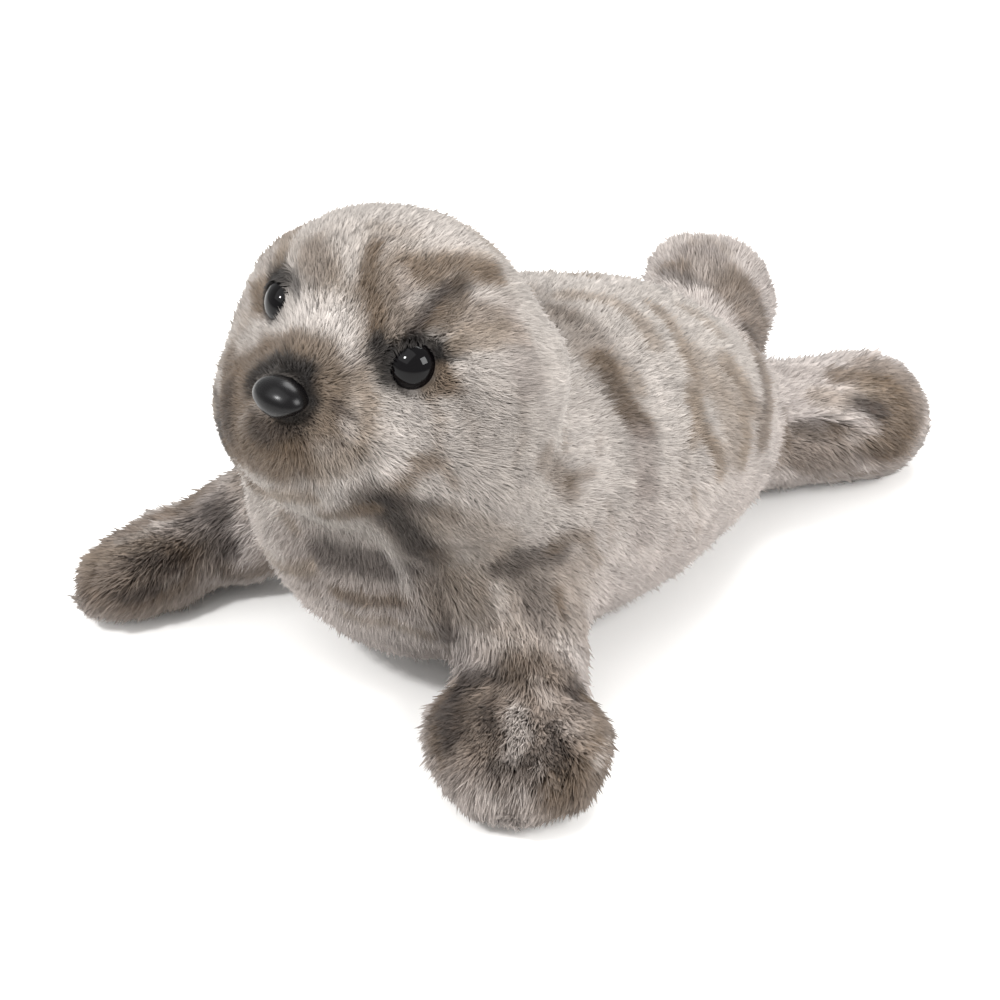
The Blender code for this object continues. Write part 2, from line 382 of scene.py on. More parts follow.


# A row for each mark: name, section, dye, half width, strength, then the corners of its path. Later marks
# lie over earlier ones. The marks along creases and grooves and under the jaw are painted shade.
MARKS = tuple(Mark(*row[:5], row[5:]) for row in (
    # head, broad dyes
    ("crown_tan", "head", OLIVE, 12.8, 0.16, (35, 31, 87), (52, 37, 95), (66, 46, 94), (74, 60, 89)),
    ("side_tan", "head", GREY, 11.1, 0.07, (84, 40, 74), (94, 40, 62), (93, 31, 50)),
    ("far_side_tan", "head", OLIVE, 5.6, 0.25, (16, 26, 58), (15, 34, 68), (24, 36, 81)),
    ("forehead_far", "head", UMBER, 6.9, 0.62, (32, 32, 86), (39, 27, 84), (45, 23, 82)),
    ("forehead_far_low", "head", OLIVE, 4.3, 0.47, (45, 27, 87), (53, 22, 82)),
    ("forehead_mid", "head", OLIVE, 7.3, 0.22, (50, 43, 98), (54, 35, 94), (59, 28, 87), (65, 24, 79)),
    ("forehead_side", "head", OLIVE, 6.9, 0.74, (61, 39, 94), (69, 47, 93), (72, 62, 90)),
    ("crown_pale", "head", PALE, 4.4, 0.1, (37, 43, 95), (47, 34, 94), (51, 29, 90)),
    ("crown_back", "head", PALE, 5.8, 0.17, (60, 55, 98), (65, 62, 95)),
    ("between_eyes", "head", PALE, 6.5, 0.46, (39, 17, 71), (49, 18, 76), (58, 19, 75)),
    ("bridge_side", "head", PALE, 3.8, 0.33, (59, 15, 69), (64, 15, 65)),
    ("far_cheek_pale", "head", PALE, 3.7, 0.3, (20, 20, 53), (30, 16, 60), (41, 12, 66)),
    ("muzzle_all", "muzzle", OLIVE, 19.7, 0.55, (52, -3, 98), (63, 24, 83)),
    # muzzle
    ("muzzle_ring", "head", UMBER, 7.4, 0.78,
     (35, -5, 40), (29, 7, 48), (41, 6, 61), (54, 5, 64), (61, 4, 56), (61, -3, 45), (54, -10, 35),
     (42, -10, 32)),
    ("muzzle_top", "head", UMBER, 3.9, 0.46, (27, 13, 49), (40, 9, 62), (50, 7, 66)),
    ("muzzle_over_nose", "head", SOOT, 4.1, 0.8,
     (33, 0, 46), (35, 4, 50), (43, 3, 58), (50, 2, 61), (55, 2, 59)),
    ("nose_rim", "head", SOOT, 3, 0.83,
     (36, -4, 43), (34, 2, 48), (40, 3, 55), (49, 2, 60), (55, 1, 58), (58, 0, 52)),
    ("nose_foot", "muzzle", SEPIA, 3.3, 0.53, (41, 10, 72), (50, 9, 75), (58, 19, 83)),
    ("muzzle_under", "muzzle", SEPIA, 5.6, 0.73, (42, 4, 63), (49, 3, 64), (56, 7, 70)),
    ("muzzle_chin", "muzzle", UMBER, 6.9, 0.88, (41, 3, 47), (51, 0, 52), (60, 4, 61)),
    ("muzzle_far", "muzzle", UMBER, 11, 0.93, (20, 43, 71), (25, 21, 61), (30, 11, 49)),
    ("muzzle_far_dark", "muzzle", SEPIA, 7.5, 0.65, (24, 26, 67), (27, 16, 52)),
    ("muzzle_side", "head", UMBER, 5, 0.28, (59, 4, 59), (64, 4, 51), (67, -3, 42)),
    ("muzzle_side_spot", "head", SEPIA, 2.4, 0.61, (64, 4, 51), (67, 5, 49)),
    ("muzzle_pale", "muzzle", PALE, 2.6, 0.22, (68, 35, 85), (72, 32, 80)),
    ("muzzle_cheek_edge", "head", OLIVE, 2.9, 0.82, (64, 12, 61), (69, 11, 52), (72, 6, 45), (73, -1, 38)),
    ("muzzle_low_side", "muzzle", OLIVE, 4, 0.48, (65, 7, 59), (71, 19, 69)),
    ("muzzle_chin_edge", "muzzle", OLIVE, 3.3, 0.76, (25, 53, 1), (51, 7, 31), (63, 7, 41)),
    ("muzzle_chin_spot", "muzzle", UMBER, 2.6, 0.35, (51, 1, 44), (58, 2, 47)),
    ("muzzle_far_low", "muzzle", UMBER, 4.9, 0.86, (17, 45, 24), (32, 14, 37)),
    # eyes and folds
    ("eye_far_over", "head", SOOT, 3, 0.8, (19, 29, 68), (24, 28, 73), (31, 25, 76), (35, 21, 75)),
    ("eye_far_back", "head", UMBER, 2.2, 0.5, (19, 25, 61), (24, 20, 59)),
    ("far_cheek_spot", "head", OLIVE, 1.9, 0.63, (8, 25, 43), (14, 23, 51)),
    ("forehead_streak", "head", UMBER, 3.6, 0.95,
     (51, 38, 96), (53, 32, 92), (57, 27, 86), (62, 23, 80), (65, 21, 74)),
    ("forehead_low", "head", UMBER, 11.8, 0.67, (62, 27, 84), (66, 24, 78), (68, 21, 72)),
    ("crown_band", "head", UMBER, 4.2, 0.78, (62, 40, 95), (66, 46, 94), (71, 54, 92), (74, 66, 86)),
    ("crown_band_fore", "head", UMBER, 4.2, 0.76, (64, 33, 89), (65, 38, 92), (70, 41, 91)),
    ("crown_patch", "head", OLIVE, 3.2, 0.25, (44, 45, 98), (51, 46, 99), (57, 49, 99)),
    ("crown_light", "head", PALE, 2.7, 0.24, (62, 35, 91), (68, 32, 86)),
    # Along the crease between head and neck: painted shade in the crease, over brown dye
    ("fold_dark", "head", SEPIA, 3.8, 0.9,
     (73, 27, 75), (73, 31, 81), (73, 37, 86), (74, 43, 88), (75, 47, 88)),
    ("fold_back", "head", UMBER, 2.3, 0.51, (74, 47, 89), (75, 55, 89), (76, 66, 85)),
    ("fold_under", "head", UMBER, 3.2, 0.61, (76, 32, 79), (76, 40, 84), (77, 45, 86)),
    ("eye_near_inner", "head", SOOT, 5.2, 0.95, (66, 19, 71), (69, 18, 67), (71, 18, 62)),
    ("eye_near_rim", "head", SOOT, 2.6, 0.88,
     (70, 21, 70), (72, 25, 74), (75, 28, 76), (78, 30, 73), (81, 29, 68)),
    ("eye_near_low", "head", SEPIA, 1.5, 0.81, (72, 17, 60), (75, 19, 57), (79, 22, 58)),
    ("eye_near_outer", "head", SOOT, 4.3, 0.94, (80, 30, 72), (82, 34, 73)),
    ("eye_near_outer_low", "head", UMBER, 4, 0.92, (82, 28, 65), (84, 27, 60), (81, 23, 57)),
    ("eye_tail", "head", UMBER, 2.7, 0.56, (85, 30, 64), (87, 28, 58)),
    ("temple_patch", "head", UMBER, 5.2, 0.64, (77, 37, 81), (81, 44, 81), (85, 53, 78)),
    ("temple_low", "head", OLIVE, 5, 0.78, (82, 37, 75), (87, 46, 75), (89, 55, 74)),
    ("cheek_pale", "head", PALE, 3.4, 0.11, (86, 32, 65), (90, 37, 65)),
    ("cheek_light", "head", PALE, 6.8, 0.11, (77, 14, 46), (82, 20, 50), (86, 21, 46)),
    ("cheek_streak", "head", UMBER, 2.3, 0.21, (90, 28, 53), (92, 27, 46), (94, 27, 40)),
    ("cheek_streak_fore", "head", OLIVE, 1.6, 0.52, (81, 23, 57), (85, 21, 50), (87, 18, 41)),
    ("cheek_arc", "head", UMBER, 2, 0.4, (96, 45, 58), (98, 45, 49), (99, 44, 40), (99, 38, 29)),
    ("cheek_low", "muzzle", UMBER, 4.4, 0.77, (85, 49, 60), (86, 60, 65), (89, 71, 70)),
    ("cheek_low_fore", "muzzle", OLIVE, 3.6, 0.23, (82, 37, 54), (85, 50, 57)),
    ("cheek_low_back", "head", OLIVE, 1.9, 0.63, (90, 18, 34), (93, 18, 27)),
    ("jaw_pale", "muzzle", PALE, 3.2, 0.52, (72, 14, 52), (79, 29, 58), (84, 51, 66)),
    ("chin_pale", "muzzle", PALE, 3.3, 0.2, (-5, 128, -51), (39, 43, 3), (68, 13, 39)),
    ("head_back", "head", GREY, 3.9, 0.4, (82, 60, 80), (90, 56, 72)),
    ("neck_streaks", "head", GREY, 6.7, 0.42, (93, 52, 69), (97, 50, 60)),
    ("jowl", "head", OLIVE, 1.8, 0.13, (94, 24, 32), (96, 31, 36), (97, 35, 41)),
    # throat and chest
    ("chest_tan", "neck", GREY, 16.6, 0.59, (49, 0, 51), (67, 3, 53), (81, 11, 50)),
    # Under the jaw: dark dye with painted shade, and the core is painted shade in the deepest hollow
    ("throat_wide", "muzzle", UMBER, 10.1, 0.51, (80, 33, 43), (87, 49, 31), (91, 64, 14)),
    ("throat", "muzzle", SEPIA, 7.8, 0.6, (79, 29, 47), (83, 41, 38), (87, 50, 25), (88, 59, 13)),
    ("throat_high", "muzzle", SEPIA, 2.9, 0.67, (82, 37, 49), (91, 57, 46), (96, 71, 41)),
    ("throat_core", "muzzle", SOOT, 4.8, 0.65, (80, 33, 45), (84, 43, 37), (87, 49, 27), (89, 56, 18)),
    ("throat_side", "neck", SEPIA, 4.6, 0.45, (86, 7, 70), (86, 14, 59), (88, 18, 54)),
    # Painted shade in the crease down the chest
    ("chest_crease", "neck", SEPIA, 2.6, 0.56, (83, 7, 66), (83, 12, 54), (84, 15, 45), (83, 21, 32)),
    ("chest_band_high", "muzzle", UMBER, 2.9, 0.75, (64, 16, 28), (73, 20, 37), (79, 31, 41)),
    ("chest_band_mid", "neck", SEPIA, 6.9, 0.69, (55, 0, 55), (63, 2, 57), (70, 4, 58), (77, 7, 58)),
    ("chest_band_low", "neck", UMBER, 3.2, 0.8, (59, 2, 43), (69, 4, 44), (77, 8, 47)),
    ("chest_band_foot", "neck", OLIVE, 3.2, 0.6, (59, 5, 34), (72, 9, 37), (80, 16, 34)),
    ("chest_pale", "neck", PALE, 2.3, 0.4, (77, 5, 64), (78, 8, 55), (78, 9, 49)),
    ("chest_left", "neck", OLIVE, 2.7, 0.66, (42, 1, 60), (47, 0, 58)),
    ("chest_left_low", "neck", OLIVE, 3.5, 0.78, (27, 10, 38), (40, 3, 41), (52, 1, 48)),
    ("chest_left_foot", "neck", UMBER, 2.6, 0.27, (40, 6, 33), (53, 3, 40)),
    ("chest_side_pale", "arm_right", PALE, 4.9, 0.25, (63, 0, 64), (78, 1, 50), (164, -46, 97)),
    ("shoulder_front", "neck", UMBER, 5.6, 0.25, (87, 10, 66), (89, 18, 58), (91, 23, 53)),
    ("shoulder_front_low", "neck", SEPIA, 2.2, 0.2, (86, 16, 54), (89, 19, 50), (90, 22, 46)),
    ("neck_side", "head", OLIVE, 5.9, 0.47, (92, 13, 14), (97, 24, 8), (97, 39, -7)),
    ("neck_side_low", "neck", OLIVE, 3.4, 0.26, (94, 17, 70), (94, 30, 62)),
    ("neck_tan", "head", GREY, 9.3, 0.08, (94, 19, 22), (100, 40, 14)),
    # trunk
    ("trunk_root", "trunk", SEPIA, 3.8, 0.52, (51, 17, 99), (55, 17, 99), (58, 18, 98)),
    ("trunk_dark_high", "trunk", UMBER, 8.3, 0.49, (56, 17, 99), (63, 17, 98), (69, 15, 95), (75, 14, 93)),
    ("trunk_high_tan", "trunk", OLIVE, 3, 0.26, (67, 11, 97), (71, 10, 95), (75, 9, 93)),
    ("trunk_spot", "trunk", OLIVE, 2.6, 0.46, (81, 18, 88), (84, 17, 86)),
    ("trunk_dark", "trunk", UMBER, 5.3, 0.9, (74, 14, 94), (80, 12, 89), (86, 11, 84), (90, 12, 80)),
    ("trunk_dark_knee", "trunk", SEPIA, 4.2, 0.4, (79, 11, 90), (85, 10, 85), (91, 12, 78)),
    ("trunk_dark_low", "trunk", GREY, 5.7, 0.56, (92, 11, 77), (95, 9, 72), (97, 7, 65)),
    ("trunk_dark_foot", "trunk", GREY, 5.5, 0.35, (97, 8, 65), (99, 6, 57), (100, 5, 49)),
    ("trunk_arc", "trunk", OLIVE, 4.3, 0.61,
     (50, 24, 99), (54, 29, 97), (60, 32, 95), (68, 32, 93), (75, 29, 90)),
    ("trunk_arc_tan", "trunk", OLIVE, 3.9, 0.4, (79, 17, 90), (84, 17, 86)),
    ("trunk_arc_core", "trunk", UMBER, 1.7, 0.25,
     (51, 25, 98), (55, 29, 97), (60, 32, 95), (69, 31, 93), (75, 29, 90)),
    ("trunk_c", "trunk", OLIVE, 4.2, 0.71,
     (61, 42, 89), (70, 40, 87), (79, 36, 84), (85, 33, 80), (90, 29, 77)),
    ("trunk_c_core", "trunk", UMBER, 1.9, 0.31,
     (62, 42, 88), (70, 40, 87), (79, 36, 84), (86, 33, 80), (90, 29, 77), (94, 28, 71)),
    ("trunk_c_low", "trunk", OLIVE, 4.3, 0.82,
     (90, 29, 77), (93, 28, 72), (96, 29, 66), (97, 31, 61), (98, 30, 56)),
    ("trunk_c_foot", "trunk", UMBER, 2.3, 0.5, (95, 28, 69), (96, 29, 65), (97, 30, 59)),
    ("trunk_c_side", "trunk", OLIVE, 2.7, 0.72, (93, 27, 73), (96, 23, 68)),
    ("trunk_d", "trunk", OLIVE, 4.6, 0.5, (61, 53, 82), (65, 55, 79), (70, 55, 76)),
    ("trunk_e", "trunk", OLIVE, 6.7, 0.81, (80, 49, 73), (84, 50, 67), (87, 50, 62)),
    ("trunk_e_core", "trunk", UMBER, 2.3, 0.39, (82, 48, 72), (85, 49, 67), (87, 49, 62)),
    ("trunk_e_low", "trunk", OLIVE, 3.8, 0.78, (90, 45, 61), (93, 44, 56), (95, 40, 52)),
    ("trunk_e_fore", "trunk", OLIVE, 2.6, 0.31, (84, 40, 75), (87, 40, 71), (89, 42, 66)),
    ("trunk_f", "trunk", UMBER, 6.2, 0.71,
     (57, 78, 52), (71, 69, 56), (79, 64, 54), (87, 56, 54), (91, 51, 50)),
    ("trunk_f_dark", "trunk", SEPIA, 2.7, 0.39, (72, 67, 58), (81, 61, 57), (87, 54, 55)),
    ("trunk_rear_tan", "trunk", OLIVE, 10.5, 0.6, (81, 38, 80), (89, 41, 68), (94, 39, 57)),
    ("side_patch", "neck", UMBER, 4.9, 0.55, (97, 47, 89), (92, 63, 76), (94, 64, 71)),
    ("side_patch_tail", "neck", UMBER, 2.5, 0.72, (93, 65, 72), (93, 74, 73)),
    ("side_tick_a", "neck", OLIVE, 1.5, 0.61, (86, 73, 84), (89, 69, 79)),
    ("side_tick_b", "neck", UMBER, 1, 0.6, (89, 86, 79), (92, 82, 75)),
    ("side_tick_c", "neck", OLIVE, 1.8, 0.34, (97, 78, 63), (99, 78, 57), (99, 75, 50)),
    ("side_tick_d", "trunk", OLIVE, 0.9, 0.46, (100, 15, 46), (99, 13, 38)),
    ("side_tick_e", "trunk", OLIVE, 1.9, 0.71, (100, 20, 55), (99, 22, 39)),
    ("side_tick_f", "trunk", OLIVE, 1.9, 0.2, (96, 21, 69), (99, 18, 61)),
    ("side_low_tan", "neck", GREY, 3.7, 0.24, (100, 88, 53), (100, 91, 44)),
    ("neck_seam", "head", PALE, 1.4, 0.27, (45, 130, 32), (90, 69, 68), (97, 62, 59)),
    ("side_pale", "neck", PALE, 8.5, 0.24, (96, 56, 107), (88, 82, 80), (94, 78, 71)),
    ("side_pale_rear", "trunk", PALE, 4.4, 0.19, (82, 22, 87), (92, 19, 76), (97, 14, 65)),
    ("trunk_top_pale", "trunk", PALE, 3.4, 0.23, (41, 31, 96), (45, 44, 89), (11, 94, 42)),
    ("belly_light", "trunk", PALE, 12.1, 0.11, (99, -4, 46), (100, 8, 49), (100, 21, 49)),
    # near arm and fore flipper
    ("arm_tan", "neck", OLIVE, 18.7, 0.54, (91, 24, 50), (99, 51, 42)),
    ("shoulder_top", "neck", SEPIA, 4.7, 0.69, (94, 30, 59), (96, 40, 58), (97, 47, 58), (97, 54, 55)),
    ("shoulder_back", "neck", UMBER, 3.1, 0.6, (97, 53, 58), (98, 61, 59), (98, 67, 57)),
    ("shoulder_side", "neck", OLIVE, 2.6, 0.54, (98, 66, 55), (99, 70, 47)),
    ("arm_light", "neck", PALE, 2.6, 0.29, (94, 29, 52), (94, 32, 43)),
    ("arm_dark", "neck", SEPIA, 5.9, 0.54, (96, 40, 54), (97, 45, 45), (100, 43, 40)),
    ("arm_dark_fore", "neck", UMBER, 2.2, 0.33, (92, 24, 53), (91, 24, 45)),
    ("arm_light_back", "neck", PALE, 3, 0.16, (98, 64, 45), (98, 66, 35)),
    ("arm_dark_edge", "neck", UMBER, 2.5, 0.76, (98, 53, 44), (101, 51, 38)),
    ("wrist_light", "arm_left", PALE, 2.6, 0.26, (25, 9, 76), (51, 15, 80), (70, 22, 80)),
    ("wrist_light_back", "arm_left", PALE, 2.6, 0.23, (82, 49, 77), (89, 59, 65)),
    ("paddle_base", "fore_flipper_left", UMBER, 26.1, 0.75, (49, 30, 74), (74, 44, 72)),
    ("paddle_rim", "fore_flipper_left", UMBER, 7, 0.15,
     (11, 43, 61), (27, 19, 56), (54, 3, 50), (85, 11, 41), (98, 38, 42), (87, 69, 53)),
    ("paddle_top", "fore_flipper_left", SEPIA, 4.6, 0.77, (12, 48, 67), (25, 50, 80), (35, 55, 88)),
    ("paddle_top_back", "fore_flipper_left", UMBER, 6.5, 0.73, (40, 62, 93), (49, 73, 90), (58, 84, 73)),
    ("paddle_left", "fore_flipper_left", SEPIA, 7.8, 0.9, (15, 39, 63), (36, 17, 60)),
    ("paddle_left_mid", "fore_flipper_left", UMBER, 7.4, 0.29, (35, 38, 74), (56, 19, 69)),
    ("paddle_mid_dark", "fore_flipper_left", SEPIA, 3.4, 0.66, (39, 40, 76), (54, 29, 73)),
    ("paddle_low", "fore_flipper_left", SEPIA, 4, 0.63, (70, 14, 64), (78, 19, 64), (81, 27, 66)),
    ("paddle_light", "fore_flipper_left", PALE, 4, 0.42, (54, 46, 78), (67, 35, 74), (71, 23, 69)),
    ("paddle_light_high", "fore_flipper_left", PALE, 2.7, 0.17, (49, 65, 86), (62, 62, 76)),
    ("paddle_light_right", "fore_flipper_left", PALE, 3.7, 0.16, (76, 56, 71), (79, 67, 65), (83, 74, 54)),
    # Painted shade in the grooves between the toes
    ("paddle_groove", "fore_flipper_left", SEPIA, 1.4, 0.27, (64, 46, 76), (71, 40, 73), (78, 30, 69)),
    ("paddle_groove_back", "fore_flipper_left", SEPIA, 2.4, 0.77, (66, 58, 75), (79, 45, 70), (87, 38, 65)),
    ("paddle_dark_right", "fore_flipper_left", SEPIA, 7.3, 0.72, (87, 38, 65), (95, 42, 58)),
    ("paddle_notch", "fore_flipper_left", SEPIA, 5.2, 0.9, (62, 80, 70), (61, 91, 58)),
    ("paddle_foot_light", "fore_flipper_left", PALE, 2.4, 0.59, (69, 4, 47), (77, 6, 42)),
    ("paddle_foot_light_mid", "fore_flipper_left", PALE, 2.1, 0.37, (84, 12, 52), (89, 15, 39)),
    ("paddle_foot_dark", "fore_flipper_left", SEPIA, 5.7, 0.7, (94, 23, 48), (98, 33, 40)),
    ("paddle_knee_light", "fore_flipper_left", PALE, 2.3, 0.22, (86, 27, 64), (90, 25, 57)),
    # far arm and flipper
    ("far_arm", "fore_flipper_right", UMBER, 12.8, 0.14, (71, 63, 80), (70, 49, 61)),
    ("far_arm_dark", "fore_flipper_right", SEPIA, 6.4, 0.63, (50, 59, 78), (67, 64, 82)),
    ("far_dark", "fore_flipper_right", SEPIA, 4.6, 0.72, (64, 41, 66), (72, 55, 63), (85, 62, 63)),
    ("far_dark_low", "fore_flipper_right", SEPIA, 3.9, 0.79, (80, 56, 46), (85, 63, 32)),
    ("far_flipper", "fore_flipper_right", UMBER, 19.4, 0.81, (47, 9, 60), (67, 29, 57)),
    ("far_mid", "fore_flipper_right", SEPIA, 5.6, 0.58, (56, 23, 67), (68, 35, 58)),
    ("far_foot", "fore_flipper_right", SEPIA, 3.7, 0.83, (57, 8, 44), (65, 17, 41), (70, 25, 40)),
    ("far_tip_light", "fore_flipper_right", OLIVE, 5.8, 0.75, (22, 11, 61), (31, 19, 68), (43, 31, 73)),
    ("far_edge_light", "fore_flipper_right", PALE, 2.5, 0.36, (26, 25, 69), (37, 38, 75), (40, 54, 77)),
    ("far_arm_light", "fore_flipper_right", PALE, 1.8, 0.18, (72, 31, 43), (74, 38, 48)),
    # hind flippers
    ("hind_base", "hind_flipper_left", GREY, 4.7, 0.25, (39, 11, 102), (46, 26, 100), (59, 30, 95)),
    ("hind_tip", "hind_flipper_left", UMBER, 10.1, 0.94, (83, 49, 83), (96, 46, 66), (98, 34, 51)),
    ("hind_top", "hind_flipper_left", UMBER, 5.1, 0.86, (56, 34, 97), (64, 43, 94), (75, 53, 89)),
    ("hind_top_tan", "hind_flipper_left", OLIVE, 5, 0.62, (62, 11, 93), (72, 23, 87), (77, 42, 87)),
    ("hind_mid", "hind_flipper_left", SEPIA, 5, 0.91, (78, 29, 84), (87, 36, 77)),
    ("hind_streak", "hind_flipper_left", PALE, 2.1, 0.13, (66, 6, 88), (75, 19, 84), (82, 24, 78)),
    # Painted shade in the crease where the near hind flipper meets the trunk
    ("hind_groove", "trunk", SEPIA, 3.1, 0.75, (78, 77, 32), (81, 80, 31), (84, 84, 29)),
    ("hind_low", "trunk", UMBER, 9.1, 0.65, (79, 72, 26), (84, 80, 24), (87, 85, 24)),
    ("hind_low_edge", "trunk", UMBER, 3.4, 0.47, (88, 56, 34), (81, 77, 15), (87, 86, 14)),
    ("hind_low_light", "hind_flipper_left", PALE, 1.9, 0.23, (87, 15, 63), (92, 28, 65)),
    ("hind_low_tip", "hind_flipper_left", SEPIA, 3, 0.51, (92, 20, 42), (96, 28, 49)),
    ("hind_root", "trunk", UMBER, 1.6, 0.76, (75, 75, 39), (78, 73, 33), (79, 72, 26)),
    ("hind_far_low", "hind_flipper_right", SEPIA, 4, 0.59, (32, 34, 92), (52, 34, 96), (63, 40, 92)),
    ("hind_far_top", "hind_flipper_right", GREY, 5.7, 0.68, (28, 52, 99), (41, 65, 94)),
    ("hind_far_all", "hind_flipper_right", UMBER, 9, 0.42, (43, 44, 97), (58, 59, 89)),
    ("hind_far_lobe", "hind_flipper_right", UMBER, 15.1, 0.75, (73, 53, 81), (81, 52, 71), (90, 47, 60)),
    ("hind_far_dark", "hind_flipper_right", SEPIA, 3.2, 0.56, (92, 35, 74), (96, 39, 60)),
    ("hind_far_edge", "hind_flipper_right", PALE, 2.6, 0.24, (50, 72, 88), (59, 74, 79)),
    # outline
    ("far_shoulder", "arm_right", UMBER, 9, 0.6, (55, 30, 85), (72, 25, 60), (85, 20, 30)),
    ("far_root_dark", "fore_flipper_right", SEPIA, 5, 0.6, (61, 69, 90), (78, 63, 78), (86, 61, 58)),
    ("far_root_low", "fore_flipper_right", UMBER, 4, 0.6, (82, 59, 44), (90, 66, 35), (97, 72, 31)),
    ("far_top_edge", "fore_flipper_right", UMBER, 3.9, 0.43,
     (45, 76, 90), (26, 69, 74), (30, 51, 76), (27, 35, 73)),
    ("far_tip_edge", "fore_flipper_right", UMBER, 2.5, 0.38,
     (23, 17, 65), (27, 8, 60), (34, 2, 51), (42, 1, 43)),
    ("far_low_edge", "fore_flipper_right", UMBER, 2.3, 0.45,
     (48, 3, 36), (62, 12, 31), (69, 25, 30), (75, 38, 37)),
    ("hind_tip_rim", "hind_flipper_left", UMBER, 9.1, 0.71,
     (64, 60, 94), (76, 66, 88), (87, 67, 76), (95, 63, 61), (99, 54, 42)),
    ("hind_tip_dark", "hind_flipper_left", SEPIA, 2.7, 0.38, (94, 35, 67), (100, 42, 51), (99, 37, 40)),
    ("hind_low_rim", "hind_flipper_left", UMBER, 2.4, 0.56,
     (95, 49, 26), (91, 29, 24), (81, 15, 21), (71, -3, 22)),
    ("hind_far_rim", "hind_flipper_right", UMBER, 4.3, 0.31,
     (54, 67, 87), (68, 65, 74), (78, 64, 55), (87, 57, 41)),
    ("hind_far_top_rim", "hind_flipper_right", OLIVE, 3, 0.38, (27, 60, 100), (31, 72, 95), (42, 74, 91)),
    ("hind_far_left", "hind_flipper_right", UMBER, 2.5, 0.76, (25, 37, 89), (29, 41, 95), (39, 41, 97)),
    ("paddle_left_rim", "fore_flipper_left", UMBER, 2.9, 0.61,
     (5, 50, 57), (13, 33, 55), (29, 15, 52), (44, 6, 48)),
    ("paddle_low_rim", "fore_flipper_left", UMBER, 2.5, 0.09,
     (55, 2, 42), (72, 4, 35), (87, 12, 34), (96, 26, 35), (99, 40, 40)),
    ("paddle_right_rim", "fore_flipper_left", UMBER, 3, 0.63,
     (98, 52, 43), (89, 66, 52), (75, 82, 55), (63, 88, 60)),
    ("muzzle_low_rim", "muzzle", UMBER, 2.4, 0.62, (20, 40, 25), (19, 54, 7), (24, 53, 2)),
    # unseen sides
    ("crown_rear", "head", OLIVE, 6, 0.5, (28, 70, 97), (45, 82, 90), (64, 80, 88)),
    ("crown_rear_low", "head", UMBER, 5, 0.55, (22, 88, 74), (40, 96, 70), (58, 95, 70)),
    ("temple_far", "head", UMBER, 7, 0.5, (6, 45, 66), (7, 58, 72), (14, 70, 76)),
    ("cheek_far", "head", OLIVE, 5, 0.5, (3, 50, 35), (5, 62, 28), (12, 76, 26)),
    ("cheek_far_streak", "head", UMBER, 2.5, 0.6, (2, 60, 52), (6, 72, 44), (12, 82, 38)),
    ("nape", "head", UMBER, 3.5, 0.5, (34, 99, 52), (50, 100, 50), (64, 97, 52)),
    ("far_arc", "trunk", UMBER, 4, 0.6, (34, 62, 96), (20, 62, 84), (10, 60, 66), (5, 58, 48)),
    ("far_arc_low", "trunk", OLIVE, 5, 0.45, (4, 58, 44), (6, 56, 30)),
    ("far_arc_rear", "trunk", OLIVE, 4, 0.55, (30, 76, 88), (18, 76, 74), (10, 75, 56), (9, 74, 40)),
    ("far_side_patch", "trunk", UMBER, 7, 0.5, (3, 34, 40), (2, 42, 34), (5, 48, 26)),
    ("rump_arc", "trunk", OLIVE, 4, 0.55, (62, 88, 72), (50, 92, 74), (36, 92, 70), (24, 90, 58)),
    ("rump_arc_low", "trunk", UMBER, 3, 0.6, (20, 88, 50), (16, 86, 38), (18, 84, 26)),
    ("arm_far_back", "arm_right", UMBER, 9, 0.55, (30, 80, 60), (12, 60, 45)),
    ("arm_far_back_dark", "arm_right", SEPIA, 4, 0.6, (60, 95, 75), (35, 90, 55)),
    ("far_back", "fore_flipper_right", UMBER, 17, 0.75, (20, 80, 60), (10, 50, 50), (5, 30, 40)),
    ("far_back_light", "fore_flipper_right", PALE, 5, 0.5, (12, 66, 70), (6, 44, 60)),
    ("far_sole", "fore_flipper_right", UMBER, 16, 0.6, (50, 60, 5), (40, 30, 5)),
    ("arm_near_back", "arm_left", OLIVE, 7, 0.55, (80, 92, 70), (95, 80, 40)),
    ("near_back", "fore_flipper_left", UMBER, 15, 0.75, (80, 92, 40), (98, 60, 40), (99, 38, 36)),
    ("near_back_light", "fore_flipper_left", PALE, 4, 0.5, (92, 84, 52), (100, 60, 56)),
    ("near_sole", "fore_flipper_left", UMBER, 16, 0.6, (60, 60, 3), (60, 34, 3)),
    ("hind_near_rear", "hind_flipper_left", UMBER, 11, 0.7, (20, 92, 60), (50, 102, 50), (78, 98, 40)),
    ("hind_near_rear_light", "hind_flipper_left", PALE, 4, 0.5, (30, 98, 72), (52, 104, 62)),
    ("hind_near_sole", "hind_flipper_left", OLIVE, 12, 0.6, (50, 60, 2), (70, 85, 4)),
    ("hind_far_rear", "hind_flipper_right", UMBER, 10, 0.7, (30, 95, 40), (8, 75, 45), (5, 50, 40)),
    ("hind_far_rear_light", "hind_flipper_right", PALE, 4, 0.5, (20, 90, 60), (4, 68, 62)),
    ("hind_far_sole", "hind_flipper_right", UMBER, 10, 0.6, (40, 50, 5), (60, 75, 10)),
))

FACE_PARTS = ("eye_left", "eye_right", "nose")

# How far the dark rim round each of them reaches, in its own half sizes: dark dye, and painted shade where
# the cloth meets them
DARK_RIMS_AND_SHADE = dict(zip(FACE_PARTS, (1.65, 1.65, 1.6)))

# Share of a section's width, in hundredths, past which a mark has a twin on the far side
MIRROR_BEYOND = {"trunk": 55, "neck": 60, "head": 78, "muzzle": 78}


